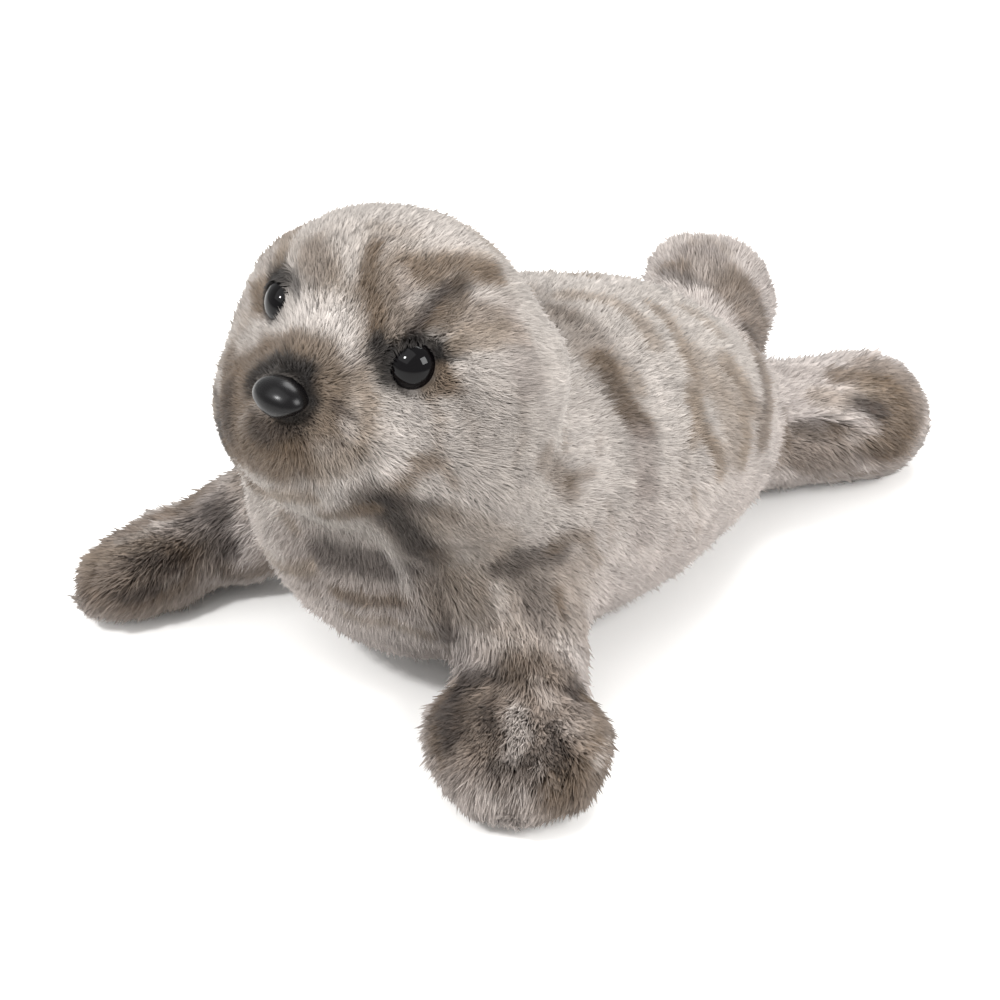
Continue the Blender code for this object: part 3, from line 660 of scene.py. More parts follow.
@dataclass
class Markings:
    """The dyes on the cloth, with painted shade in its creases, under the jaw and round the eyes and nose,
    as a rule that skin and pile both read.

    `top` is the body's height in metres, and the belly's tone gives way to the ground between two shares
    of it. A mark's edge is soft by `edge`, in millimetres, and by a share of its half width. Each wobble
    has a size and a reach, in millimetres, and the seed of the first of its three axes.
    """

    top: float
    ground: str = "#9F9892"
    belly: str = "#ACA39E"
    belly_shares: tuple[float, float] = (0.15, 0.5)
    edge: float = 0.8
    edge_share: float = 0.36
    wobbles: tuple[tuple[float, float, int], ...] = ((11, 0.7, 3), (4, 0.35, 6))
    rim_from: float = 1.1
    rim_strength: float = 0.9
    drawn: list[tuple[Mark, np.ndarray]] = field(init=False)

    def __post_init__(self) -> None:
        """Places every mark on the body, the far side's twins first."""
        self.drawn = [(mark, self.placed(mark, mirrored=True)) for mark in MARKS
                      if min(spot[0] for spot in mark.path) > MIRROR_BEYOND.get(mark.section, 100)]
        self.drawn += [(mark, self.placed(mark)) for mark in MARKS]

    def placed(self, mark: Mark, mirrored: bool = False) -> np.ndarray:
        """Places a mark's path.

        Args:
            mark: the mark.
            mirrored: whether its mirror image on the far side is wanted.

        Returns:
            The path's corners, metres.
        """
        shares = np.array(mark.path) / 100
        if mirrored:
            shares[:, 0] = 1 - shares[:, 0]
        return path_in(mark.section, shares)

    def colour_at(self, points: np.ndarray) -> np.ndarray:
        """The pile's colour.

        Args:
            points: places on the body, metres.

        Returns:
            Linear red, green and blue for each place.
        """
        start, end = self.belly_shares
        height = eased(points[:, 2], start * self.top, end * self.top)[:, None]
        colour = np.array(linear(self.belly)) * (1 - height) + np.array(linear(self.ground)) * height
        moved = points + sum(np.stack([ripple(points, size * MM, seed + axis) for axis in range(3)], 1)
                             * reach * MM for size, reach, seed in self.wobbles)
        for mark, path in self.drawn:
            half = mark.half * MM
            soft = self.edge * MM + self.edge_share * half
            reach = half + soft
            near = np.all((moved > path.min(0) - reach) & (moved < path.max(0) + reach), axis=1)
            if not near.any():
                continue
            away = path_distance(moved[near], path)
            cover = (1 - eased(away, half - soft, reach)) * mark.strength
            dye = np.array(linear(mark.pigment.value))
            colour[near] += (dye - colour[near]) * cover[:, None]
        # Dark dye round the eyes and nose, with painted shade where the cloth meets them
        for name, reach in DARK_RIMS_AND_SHADE.items():
            centre, half = middle_and_half(name)
            away = np.linalg.norm((points - centre) / half, axis=1)
            cover = (1 - eased(away, self.rim_from, reach)) * self.rim_strength
            colour += (np.array(linear(SOOT.value)) - colour) * cover[:, None]
        return colour


# --------------------------------------------------------------------------- skin


@dataclass(frozen=True)
class Pile:
    """How the pile stands on one section.

    Its depth and the length and width of a lock are in millimetres, and `crowd` is the locks for each
    square millimetre. It is combed one way, or radiates from another node.
    """

    depth: float
    length: float
    width: float
    crowd: float
    way: Triple | None = None
    radiates: str = ""


BACKWARDS = (0.0, 1.0, -0.55)
PILES = {
    "muzzle": Pile(3.4, 7.0, 0.27, 4.9, radiates="nose"),
    "head": Pile(4.2, 8.2, 0.29, 4.2, radiates="nose"),
    "neck": Pile(5.2, 7.8, 0.33, 3.2, way=BACKWARDS),
    "trunk": Pile(5.4, 7.4, 0.34, 3.0, way=BACKWARDS),
    "arm_left": Pile(5.6, 11.0, 0.4, 3.3, way=(0.68, -0.59, -0.6)),
    "arm_right": Pile(5.6, 11.0, 0.4, 3.3, way=(-0.6, -0.65, -0.5)),
    "fore_flipper_left": Pile(6.0, 11.5, 0.4, 3.4, radiates="arm_left"),
    "fore_flipper_right": Pile(6.0, 11.5, 0.4, 3.4, radiates="arm_right"),
    "hind_flipper_left": Pile(6.0, 11.5, 0.42, 3.0, radiates="trunk"),
    "hind_flipper_right": Pile(6.0, 11.5, 0.42, 3.0, radiates="trunk"),
}
SECTIONS = tuple(PILES)

# How far along a lock its root, its bend and its tip are, and how far along the dyes of each are read
ALONG = {"root": 0.0, "bend": 0.4, "tip": 1.0}
DYES_AT = {"root": 0.15, "bend": 0.5, "tip": 0.85}


@dataclass(frozen=True)
class Fold:
    """A seam or a crease in the cloth, drawn in along a path in hundredths of a section's box.

    `sink` is its depth and `half` half its width, in millimetres.
    """

    section: str
    sink: float
    half: float
    path: tuple[tuple[int, int, int], ...]


FOLDS = (
    Fold("head", 2.2, 2.8, ((76, 29, 75), (75, 38, 84), (75, 45, 87), (76, 55, 88), (75, 67, 85))),
    Fold("neck", 2.2, 3.4, ((82, 6, 66), (83, 12, 54), (84, 15, 45), (84, 20, 34))),
    Fold("fore_flipper_left", 1.8, 3.2, ((62, 61, 76), (76, 49, 72), (90, 38, 63))),
    Fold("fore_flipper_left", 1.4, 3.0, ((76, 13, 61), (81, 10, 52))),
    Fold("trunk", 1.6, 3.2, ((78, 75, 32), (81, 80, 31), (85, 85, 29))),
    Fold("hind_flipper_left", 1.4, 2.5, ((60, -1, 92), (72, 12, 84), (85, 24, 75))),
    Fold("fore_flipper_left", 2.0, 3.7, ((8, 56, 83), (30, 59, 95), (44, 71, 96), (51, 99, 67))),
    Fold("trunk", 2.0, 2.5, ((62, 82, 44), (78, 69, 45), (86, 60, 39))),
)


@dataclass
class StuffedSkin:
    """The backing cloth of the whole body, one surface under the pile. Lengths are in millimetres."""

    frame: dict
    grow: float = 0.45
    voxel: float = 1.9
    smoothing: int = 8
    # The pile is at its shortest beside the eyes and nose, and lies flatter near the floor: each band runs
    # from where that is full to where it ends
    shortest: float = 2.1
    shortest_lock: float = 0.42
    short_band: tuple[float, float] = (-0.5, 5.5)
    floor_depth: float = 0.15
    floor_band: tuple[float, float] = (0.5, 12.0)
    # Slight lumps of the filling, by width and height
    lump_width: float = 28.0
    lump: float = 0.35
    inset_steps: int = 5
    # How far values spread over the surface: each pass keeps this share of a point's own value
    own_share: float = 0.4
    pile_passes: int = 12
    neck_passes: int = 30
    neck_fill: float = 4.4
    comb_rounds: int = 6
    comb_passes: int = 10
    # The pile turns away from an eye between these distances, by this much
    eye_band: tuple[float, float] = (8.5, 17.0)
    eye_turn: float = 0.3
    # The hind flippers' pile radiates from a place in the rump, the fore flippers' from above the wrist
    rump_inset: float = 28.0
    rump_height: float = 0.3
    wrist_rise: float = 6.0
    section: np.ndarray = field(init=False)
    lie: np.ndarray = field(init=False)
    pile: np.ndarray = field(init=False)

    def filled_body(self) -> bpy.types.Object:
        """Joins every section, eye and nose into one closed surface.

        Returns:
            The surface, at the solids' own size.
        """
        shape = bmesh.new()
        for node in self.frame["nodes"].values():
            section = bmesh.new()
            section.from_mesh(node.data)
            bmesh.ops.remove_doubles(section, verts=section.verts, dist=1e-6)
            section.normal_update()
            for vertex in section.verts:
                vertex.co += vertex.normal * self.grow * MM
            grown = bpy.data.meshes.new("grown")
            section.to_mesh(grown)
            section.free()
            shape.from_mesh(grown)
            bpy.data.meshes.remove(grown)
        mesh = bpy.data.meshes.new("plush_skin")
        shape.to_mesh(mesh)
        shape.free()
        body = add_object("plush_skin", mesh)
        remesh = body.modifiers.new("join", "REMESH")
        remesh.mode = "VOXEL"
        remesh.voxel_size = self.voxel * MM
        settle(body)
        smooth = body.modifiers.new("ease", "SMOOTH")
        smooth.factor = 0.5
        smooth.iterations = self.smoothing
        settle(body)
        return body

    def sections_of(self, points: np.ndarray) -> np.ndarray:
        """Finds the section that each point lies nearest to.

        Args:
            points: places on the surface.

        Returns:
            The section's number for each point.
        """
        nodes = self.frame["nodes"]
        tree = KDTree(sum(len(nodes[name].data.vertices) for name in SECTIONS))
        for number, name in enumerate(SECTIONS):
            for vertex in nodes[name].data.vertices:
                tree.insert(vertex.co, number)
        tree.balance()
        return np.array([tree.find(point)[1] for point in points])

    def spread(self, mesh: bpy.types.Mesh, values: np.ndarray, passes: int) -> np.ndarray:
        """Evens values out over the surface.

        Args:
            mesh: the surface.
            values: a row for each of its points.
            passes: how many times each point takes its neighbours' mean.

        Returns:
            The evened values.
        """
        ends = np.empty(len(mesh.edges) * 2, np.int32)
        mesh.edges.foreach_get("vertices", ends)
        first, second = ends.reshape(-1, 2).T
        count = np.bincount(ends, minlength=len(values))[:, None]
        for _ in range(passes):
            total = np.zeros_like(values)
            for column in range(values.shape[1]):
                total[:, column] = np.bincount(first, values[second, column], len(values))
                total[:, column] += np.bincount(second, values[first, column], len(values))
            values = self.own_share * values + (1 - self.own_share) * total / count
        return values

    def build(self) -> bpy.types.Object:
        """Makes the skin and works out how the pile stands on it.

        Returns:
            The skin. `section`, `lie` and `pile` (depth, length, width and crowd) then have a row for
            each of its points.
        """
        body = self.filled_body()
        mesh = body.data
        points, _ = read_vectors(mesh)
        self.section = self.sections_of(points)
        write_points(mesh, self.eased_neck(mesh, points))
        points, normals = read_vectors(mesh)
        piles = [PILES[name] for name in SECTIONS]
        pile = np.array([(p.depth, p.length, p.width, p.crowd) for p in piles])[self.section]
        self.lie = self.combed(mesh, points, normals)
        pile = self.spread(mesh, pile, self.pile_passes)
        clear = self.clearance(points)
        low = eased(points[:, 2], *(np.array(self.floor_band) * MM))
        depth = self.shortest + (pile[:, 0] - self.shortest) * clear * (
            self.floor_depth + (1 - self.floor_depth) * low)
        pile[:, 0] = depth
        pile[:, 1] *= self.shortest_lock + (1 - self.shortest_lock) * clear
        self.pile = pile
        sink = (depth + self.grow) * MM + self.folded(points)
        for _ in range(self.inset_steps):
            points, normals = read_vectors(mesh)
            write_points(mesh, points - normals * sink[:, None] / self.inset_steps)
        points, normals = read_vectors(mesh)
        lumps = ripple(points, self.lump_width * MM, LUMPS) * self.lump * MM
        write_points(mesh, points + normals * lumps[:, None] * low[:, None])
        mesh.shade_smooth()
        return body

    def eased_neck(self, mesh: bpy.types.Mesh, points: np.ndarray) -> np.ndarray:
        """Fills the crease where the head meets the neck, as the filling does.

        Args:
            mesh: the surface.
            points: its points.

        Returns:
            The points, moved.
        """
        on_neck = (self.section == SECTIONS.index("neck")).astype(float)[:, None]
        on_head = np.isin(self.section, [SECTIONS.index(name) for name in ("head", "muzzle")])[:, None]
        both = self.spread(mesh, np.hstack([on_neck, on_head]), self.neck_passes)
        share = np.clip(self.neck_fill * both[:, :1] * both[:, 1:], 0, 1)
        for _ in range(self.neck_passes):
            points = points + share * (self.spread(mesh, points, 1) - points)
        return points

    def clearance(self, points: np.ndarray) -> np.ndarray:
        """How far each point is from the eyes and nose.

        Args:
            points: places on the surface.

        Returns:
            A share for each point, from 0 beside them to 1 beyond their reach.
        """
        free = np.ones(len(points))
        for name in FACE_PARTS:
            centre, half = middle_and_half(name)
            away = np.linalg.norm(points - centre, axis=1) - half.max()
            free = np.minimum(free, eased(away, *(np.array(self.short_band) * MM)))
        return free

    def folded(self, points: np.ndarray) -> np.ndarray:
        """How deep the seams and creases draw the cloth in.

        Args:
            points: places on the surface.

        Returns:
            A depth for each point, metres.
        """
        sink = np.zeros(len(points))
        for fold in FOLDS:
            away = path_distance(points, path_in(fold.section, np.array(fold.path) / 100))
            sink = np.maximum(sink, fold.sink * MM * np.exp(-(away / (fold.half * MM)) ** 2))
        return sink

    def source_of(self, node: str) -> np.ndarray:
        """The place that the pile radiates from.

        Args:
            node: the nose, the trunk or an arm.

        Returns:
            The place, metres.
        """
        if node == "nose":
            return np.array(middle(node))
        low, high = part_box(node)
        across = (low.x + high.x) / 2
        if node == "trunk":
            return np.array([across, high.y - self.rump_inset * MM, self.rump_height * high.z])
        return np.array([across, (low.y + high.y) / 2, high.z + self.wrist_rise * MM])

    def combed(self, mesh: bpy.types.Mesh, points: np.ndarray, normals: np.ndarray) -> np.ndarray:
        """Combs the pile.

        Args:
            mesh: the surface.
            points: its points.
            normals: their normals.

        Returns:
            The way the pile lies at each point, along the surface.
        """
        lie = np.zeros_like(points)
        for number, name in enumerate(SECTIONS):
            pile, here = PILES[name], self.section == number
            lie[here] = pile.way or unit(points[here] - self.source_of(pile.radiates))
        for _ in range(self.comb_rounds):
            lie -= (lie * normals).sum(1, keepdims=True) * normals
            lie = self.spread(mesh, unit(lie), self.comb_passes)
        for name in FACE_PARTS[:2]:
            away = points - middle_and_half(name)[0]
            near = 1 - eased(np.linalg.norm(away, axis=1), *(np.array(self.eye_band) * MM))
            lie += (unit(away) - lie) * self.eye_turn * near[:, None]
        lie -= (lie * normals).sum(1, keepdims=True) * normals
        return unit(lie)


# --------------------------------------------------------------------------- pile


@dataclass(frozen=True)
class PileCloth:
    """Acrylic pile cloth, airbrushed.

    Painted shade darkens each lock towards its root, a painted highlight pales its tip, and every lock
    differs a little from the next, which gives the coat its fine streaks. The backing carries painted shade
    too.
    `wisp` is in millimetres.
    """

    name: str = "acrylic_pile"
    roughness: float = 0.62
    ior: float = 1.5
    specular: float = 0.18
    sheen: float = 0.04
    sheen_roughness: float = 0.5
    wisp: float = 1.2
    root_painted_shade: float = 0.62
    shaded_to: float = 0.75
    tint_spread: float = 0.44
    tip_highlight_tone: str = "#F3EDE8"
    tip_highlight_share: float = 0.04
    tip_highlight_from: float = 0.6
    backing_painted_shades: tuple[float, float] = (0.62, 0.86)

    def shaded_and_streaked(self, tree: bpy.types.NodeTree, along: bpy.types.NodeSocket) -> bpy.types.NodeSocket:
        """Paints shade on the locks, darker towards the root, and sets each a little apart from the next.

        Args:
            tree: the material's nodes.
            along: how far along its lock a place is.

        Returns:
            How bright each place is.
        """
        tint = add_node(tree, "ShaderNodeAttribute", attribute_name="tint")
        # Painted shade: each lock darkens towards its root, where the pile around it shades it
        shade = add_node(tree, "ShaderNodeMapRange", {
            "Value": along, "From Max": self.shaded_to, "To Min": self.root_painted_shade, "To Max": 1.0})
        half = self.tint_spread / 2
        spread = add_node(tree, "ShaderNodeMapRange", {
            "Value": tint.outputs["Fac"], "To Min": 1 - half, "To Max": 1 + half})
        both = add_node(tree, "ShaderNodeMath", {0: shade.outputs["Result"], 1: spread.outputs["Result"]},
                        operation="MULTIPLY")
        return both.outputs["Value"]

    def build(self, backing: bool = False) -> bpy.types.Material:
        """Makes the material.

        Args:
            backing: whether this is the knitted backing, which shows only between the locks.

        Returns:
            The material.
        """
        made = blank_material(self.name + ("_backing" if backing else ""))
        tree = made.node_tree
        dyed = add_node(tree, "ShaderNodeAttribute", attribute_name="pile_colour")
        place = add_node(tree, "ShaderNodeTexCoord")
        wisps = add_node(tree, "ShaderNodeTexNoise", {
            "Vector": place.outputs["Object"], "Scale": 1 / (self.wisp * MM), "Detail": 2.0,
            "Roughness": 0.6})
        if backing:
            # Painted shade: the knitted backing is darkened, unevenly, for the shade that lies deep under the
            # pile
            low, high = self.backing_painted_shades
            bright = add_node(tree, "ShaderNodeMapRange", {
                "Value": wisps.outputs["Fac"], "To Min": low, "To Max": high}).outputs["Result"]
        else:
            along = add_node(tree, "ShaderNodeAttribute", attribute_name="along").outputs["Fac"]
            bright = self.shaded_and_streaked(tree, along)
        toned = add_node(tree, "ShaderNodeVectorMath", {0: dyed.outputs["Color"], "Scale": bright},
                         operation="SCALE")
        colour = toned.outputs["Vector"]
        if not backing:
            # Painted highlight: the fibre ends are mixed towards a pale tone, as if they caught the lamps
            tips = add_node(tree, "ShaderNodeMapRange", {
                "Value": along, "From Min": self.tip_highlight_from, "To Max": self.tip_highlight_share})
            # Inputs 6 and 7 of a colour mix are its two colours, and output 2 is what it gives
            mixed = add_node(tree, "ShaderNodeMix", {
                0: tips.outputs["Result"], 6: colour, 7: (*linear(self.tip_highlight_tone), 1)}, data_type="RGBA")
            colour = mixed.outputs[2]
        shader = add_node(tree, "ShaderNodeBsdfPrincipled", {
            "Base Color": colour, "Roughness": self.roughness, "Specular IOR Level": self.specular,
            "IOR": self.ior, "Sheen Weight": self.sheen, "Sheen Roughness": self.sheen_roughness})
        if backing:
            bump = add_node(tree, "ShaderNodeBump", {
                "Height": wisps.outputs["Fac"], "Strength": 0.6, "Distance": 0.8 * MM})
            tree.links.new(bump.outputs["Normal"], shader.inputs["Normal"])
        add_node(tree, "ShaderNodeOutputMaterial", {"Surface": shader.outputs["BSDF"]})
        return made


class Clumping(Enum):
    """How strongly locks gather to a common tip."""

    FACE = 0.2
    BODY = 0.22
    SHAGGY = 0.42

    @classmethod
    def of(cls, section: str) -> Clumping:
        """How the locks of one section gather.

        Args:
            section: the section's name.

        Returns:
            The clumping.
        """
        if section in ("head", "muzzle"):
            return cls.FACE
        return cls.SHAGGY if "flipper" in section or "arm" in section else cls.BODY


@dataclass(frozen=True)
class Rim:
    """How the pile laps over an eye or the nose: how far, in millimetres, and from which side most."""

    part: SafetyEye | MouldedNose
    lap: float
    lean: Triple


@dataclass
class PileCoat:
    """The locks that stand on the skin, one mesh or a few for each section, grown by Geometry Nodes.

    Lengths are in millimetres. Pairs of numbers are the ends of an even spread.
    """

    skin: bpy.types.Object
    stands_on: StuffedSkin
    markings: Markings
    cloth: bpy.types.Material
    rims: tuple[Rim, ...]
    thin: float = 1.0
    # The most locks in one mesh
    most: int = 49_500
    templates: int = 6
    # How much of its own normal a lock keeps: the rest is the body's
    stiffness: float = 0.45
    # The pile is thinner by this share where the body faces the floor, by how squarely and how near
    worn: float = 0.6
    worn_facing: tuple[float, float] = (0.4, 0.9)
    worn_heights: tuple[float, float] = (12.0, 30.0)
    # Broad swirls and each lock's own turn, in radians
    swirl: float = 0.22
    swirl_width: float = 16.0
    wander: float = 0.2
    # Shares of the pile's length, depth and width
    lengths: tuple[float, float] = (0.72, 1.12)
    lifts: tuple[float, float] = (0.62, 1.04)
    steepest: float = 0.8
    least_reach: float = 0.3
    least_rise: float = 0.25
    widths: tuple[float, float] = (0.75, 1.25)
    # Some locks stray above the rest
    strays: float = 0.12
    stray_lifts: tuple[float, float] = (1.1, 1.55)
    # Locks for each common tip, how evenly they gather to it, and how alike their normals have to be
    clump: int = 18
    alike: float = 0.7
    gathers: tuple[float, float] = (0.3, 1.3)
    # Roots nearer than the first keep off an eye or the nose, and those in the band lap over its rim
    bare_to: float = 1.03
    lap_band: tuple[float, float] = (1.12, 1.5)
    lap_rest: float = 0.6
    lap_limits: tuple[float, float] = (-0.3, 1.5)
    lap_lift: float = 1.2
    lap_arch: float = 0.4
    # Tips nearer than the first are pushed out to it, those nearer than the second no harder than there
    rim_gap: float = 1.06
    rim_core: float = 0.2
    # The lowest that a lock's end and any part of it go
    tip_floor: float = 0.35
    floor_gap: float = 0.1
    # Spreads of the dyes' places along a lock, and of its brightness: wisps, single locks and clouds
    dye_scatter: float = 0.1
    wisp_tint: float = 0.2
    lock_tint: float = 0.18
    cloud_tint: float = 0.15
    cloud_width: float = 6.0

    def lock_templates(self) -> bpy.types.Collection:
        """Makes the few shapes of lock: a closed sliver that rises from its root and bends over.

        Returns:
            A collection of unit locks, along +Y and up +Z.
        """
        random = np.random.default_rng(SEED)
        group = bpy.data.collections.new("lock_shapes")
        for number in range(self.templates):
            bend, hook = random.uniform(-1.3, 1.3), random.uniform(-2.4, 2.4)
            rise = random.uniform(0.55, 0.72)
            # The root, both sides of the bend and the tip
            points = [(0, 0, -0.12), (bend - 0.5, 0.38, rise), (bend + 0.5, 0.38, rise), (hook, 1, 1)]
            faces = [(0, 2, 1), (1, 2, 3), (0, 1, 3), (0, 3, 2)]
            mesh = bpy.data.meshes.new(f"lock_{number}")
            mesh.from_pydata(points, [], faces)
            shape = bmesh.new()
            shape.from_mesh(mesh)
            bmesh.ops.recalc_face_normals(shape, faces=shape.faces)
            shape.to_mesh(mesh)
            shape.free()
            store(mesh, "along", "FLOAT", np.array([ALONG[part] for part in ("root", "bend", "bend", "tip")]))
            patch = [(0, -0.5, 0), (-0.5, 0, 0), (0.5, 0, 0), (0, 0.5, 0)]
            store(mesh, "patch", "FLOAT_VECTOR", np.array(patch))
            mesh.shade_smooth()
            group.objects.link(bpy.data.objects.new(mesh.name, mesh))
        return group

    def tree(self) -> bpy.types.NodeTree:
        """Builds the tree that sets a lock on every root.

        Returns:
            A tree with the locks, the seed and the cloth as named inputs.
        """
        tree = bpy.data.node_groups.new("pile_locks", "GeometryNodeTree")
        face = tree.interface
        kinds = {"Roots": "Geometry", "Locks": "Collection", "Seed": "Int", "Cloth": "Material"}
        for name, kind in kinds.items():
            face.new_socket(name, in_out="INPUT", socket_type=f"NodeSocket{kind}")
        face.new_socket("Pile", in_out="OUTPUT", socket_type="NodeSocketGeometry")
        given = add_node(tree, "NodeGroupInput").outputs
        named = {name: add_node(tree, "GeometryNodeInputNamedAttribute", {"Name": name},
                                data_type="FLOAT_VECTOR").outputs["Attribute"]
                 for name in ("up", "lie", "size")}
        turn = add_node(tree, "FunctionNodeAxesToRotation", {0: named["up"], 1: named["lie"]},
                        primary_axis="Z", secondary_axis="Y")
        shapes = add_node(tree, "GeometryNodeCollectionInfo", {
            "Collection": given["Locks"], "Separate Children": True, "Reset Children": True})
        pick = add_node(tree, "FunctionNodeRandomValue", {"Seed": given["Seed"]}, data_type="INT")
        ranged = [socket for socket in pick.inputs if socket.enabled and socket.type == "INT"]
        ranged[0].default_value = 0
        ranged[1].default_value = self.templates - 1
        index = next(socket for socket in pick.outputs if socket.enabled)
        placed = add_node(tree, "GeometryNodeInstanceOnPoints", {
            "Points": given["Roots"], "Instance": shapes.outputs["Instances"], "Pick Instance": True,
            "Instance Index": index, "Rotation": turn.outputs["Rotation"], "Scale": named["size"]})
        real = add_node(tree, "GeometryNodeRealizeInstances", {"Geometry": placed.outputs["Instances"]})
        dressed = add_node(tree, "GeometryNodeSetMaterial", {
            "Geometry": real.outputs["Geometry"], "Material": given["Cloth"]})
        add_node(tree, "NodeGroupOutput", {"Pile": dressed.outputs["Geometry"]})
        return tree

    def roots(self, unwrapped: np.ndarray) -> dict[str, np.ndarray]:
        """Scatters the roots over the skin.

        Args:
            unwrapped: the skin's unwrap, one row for each corner.

        Returns:
            Arrays with a row for each root: place, normal, lie, pile, section and place on the unwrap.
        """
        mesh = self.skin.data
        mesh.calc_loop_triangles()
        count = len(mesh.loop_triangles)
        corners = np.empty(count * 3, np.int32)
        loops = np.empty(count * 3, np.int32)
        mesh.loop_triangles.foreach_get("vertices", corners)
        mesh.loop_triangles.foreach_get("loops", loops)
        corners, loops = corners.reshape(-1, 3), loops.reshape(-1, 3)
        points, normals = read_vectors(mesh)
        sides = points[corners]
        area = np.linalg.norm(np.cross(sides[:, 1] - sides[:, 0], sides[:, 2] - sides[:, 0]), axis=1) / 2
        facing = -normals[corners].mean(1)[:, 2]
        high = eased(sides[:, :, 2].mean(1), *(np.array(self.worn_heights) * MM))
        under = eased(facing, *self.worn_facing) * (1 - high)
        crowd = self.stands_on.pile[corners, 3].mean(1) / MM ** 2 * (1 - self.worn * under) * self.thin
        random = np.random.default_rng(SEED)
        wanted = area * crowd
        number = np.floor(wanted + random.random(count)).astype(int)
        chosen = np.repeat(np.arange(count), number)
        share = random.random((len(chosen), 2))
        share = np.where(share.sum(1, keepdims=True) > 1, 1 - share, share)
        weight = np.column_stack([1 - share.sum(1), share])

        def blend(values: np.ndarray) -> np.ndarray:
            """Carries the corners' values to the roots."""
            return (values[corners[chosen]] * weight[:, :, None]).sum(1)

        found = {
            "place": blend(points), "normal": unit(blend(normals)), "lie": unit(blend(self.stands_on.lie)),
            "pile": blend(self.stands_on.pile), "section": self.stands_on.section[corners[chosen, 0]],
            "unwrap": (unwrapped[loops[chosen]] * weight[:, :, None]).sum(1),
        }
        clear = np.ones(len(chosen), bool)
        for rim in self.rims:
            clear &= rim.part.nearness(found["place"]) > self.bare_to
        return {name: values[clear] for name, values in found.items()}

    def lapped(self, places: np.ndarray, up: np.ndarray, tips: np.ndarray) -> np.ndarray:
        """Turns the locks beside an eye or the nose in over its rim, and keeps every tip out of them.

        Args:
            places: the roots.
            up: the skin's normal at each root.
            tips: where each lock ends.

        Returns:
            Where each lock ends now.
        """
        for rim in self.rims:
            beside = 1 - eased(rim.part.nearness(places), *self.lap_band)
            inwards = unit(np.array(rim.part.centre()) - places)
            share = np.clip(self.lap_rest - inwards @ np.array(rim.lean), *self.lap_limits) * rim.lap * MM
            inwards = unit(inwards - (inwards * up).sum(1, keepdims=True) * up)
            rise = self.lap_lift * MM + np.maximum(share, 0) * self.lap_arch
            over = places + inwards * share[:, None] + up * rise[:, None]
            tips = tips + (over - tips) * beside[:, None]
        for rim in self.rims:
            near = rim.part.nearness(tips)
            centre = np.array(rim.part.centre())
            out = np.maximum(self.rim_gap / np.maximum(near, self.rim_core), 1)
            tips = centre + (tips - centre) * out[:, None]
        return tips

    def combed(self, root: dict[str, np.ndarray],
               random: np.random.Generator) -> tuple[np.ndarray, np.ndarray]:
        """Lays the locks the way of the pile and gathers them to common tips.

        Args:
            root: the roots, as `roots` gives them.
            random: the coat's own generator.

        Returns:
            Where each lock ends, and the number of the lock whose tip it gathers to.
        """
        places, lie, up = root["place"], root["lie"], root["normal"]
        count = len(places)
        side = np.cross(up, lie)
        swirl = ripple(places, self.swirl_width * MM, SWIRLS) * self.swirl
        swirl += random.normal(0, self.wander, count)
        lie = unit(lie * np.cos(swirl)[:, None] + side * np.sin(swirl)[:, None])
        depth, length, _, _ = root["pile"].T * MM
        length = length * random.uniform(*self.lengths, count)
        lift = np.minimum(depth * random.uniform(*self.lifts, count), length * self.steepest)
        lift *= np.where(random.random(count) < self.strays, random.uniform(*self.stray_lifts, count), 1)
        reach = np.sqrt(np.maximum(length ** 2 - lift ** 2, (self.least_reach * length) ** 2))
        tips = places + lie * reach[:, None] + up * lift[:, None]
        pull = np.array([Clumping.of(name).value for name in SECTIONS])[root["section"]]
        centres = np.sort(random.choice(count, count // self.clump, replace=False))
        tree = KDTree(len(centres))
        for number, place in enumerate(places[centres]):
            tree.insert(place, number)
        tree.balance()
        nearest = centres[[tree.find(place)[1] for place in places]]
        pull = pull * random.uniform(*self.gathers, count)
        same_side = (up * up[nearest]).sum(1) > self.alike
        tips += (tips[nearest] - tips) * (pull * same_side)[:, None]
        tips = self.lapped(places, up, tips)
        tips[:, 2] = np.maximum(tips[:, 2], self.tip_floor * MM)
        return tips, nearest

    def grow(self, unwrapped: np.ndarray) -> list[bpy.types.Object]:
        """Grows the coat.

        Args:
            unwrapped: the skin's unwrap, one row for each corner.

        Returns:
            The coat's pieces.
        """
        random = np.random.default_rng(SEED + 1)
        root = self.roots(unwrapped)
        tips, nearest = self.combed(root, random)
        places, up = root["place"], root["normal"]
        count = len(places)
        depth, _, width, _ = root["pile"].T * MM
        rise = ((tips - places) * up).sum(1)
        along = tips - places - up * rise[:, None]
        wide = width * random.uniform(*self.widths, count)
        high = np.maximum(rise, self.least_rise * MM)
        size = np.column_stack([wide, np.linalg.norm(along, axis=1), high])
        outside = places + up * (depth + self.stands_on.grow * MM)[:, None]
        outside += along * random.normal(0, self.dye_scatter, count)[:, None]
        wisps = random.normal(0, self.wisp_tint, count)[nearest]
        clouds = self.cloud_tint * ripple(places, self.cloud_width * MM, CLOUDS)
        tint = np.clip(0.5 + random.normal(0, self.lock_tint, count) + wisps + clouds, 0, 1)
        kept = {"up": up, "lie": unit(along), "size": size,
                "on_unwrap": np.column_stack([root["unwrap"], np.zeros(count)])}
        kept |= {f"dye_{part}": self.markings.colour_at(outside + along * share)
                 for part, share in DYES_AT.items()}
        group, tree = self.lock_templates(), self.tree()
        made = []
        for number, name in enumerate(SECTIONS):
            here = np.flatnonzero(root["section"] == number)
            parts = math.ceil(len(here) / self.most)
            order = here[np.argsort(places[here, 1])]
            for part, some in enumerate(np.array_split(order, parts)):
                title = f"pile_{name}" + (f"_{part + 1}" if parts > 1 else "")
                mesh = bpy.data.meshes.new(title)
                mesh.from_pydata(places[some].tolist(), [], [])
                for value, rows in kept.items():
                    store(mesh, value, "FLOAT_VECTOR", rows[some])
                store(mesh, "tint", "FLOAT", tint[some])
                made.append(self.set_locks(add_object(title, mesh), tree, group, SEED + len(made)))
        return made

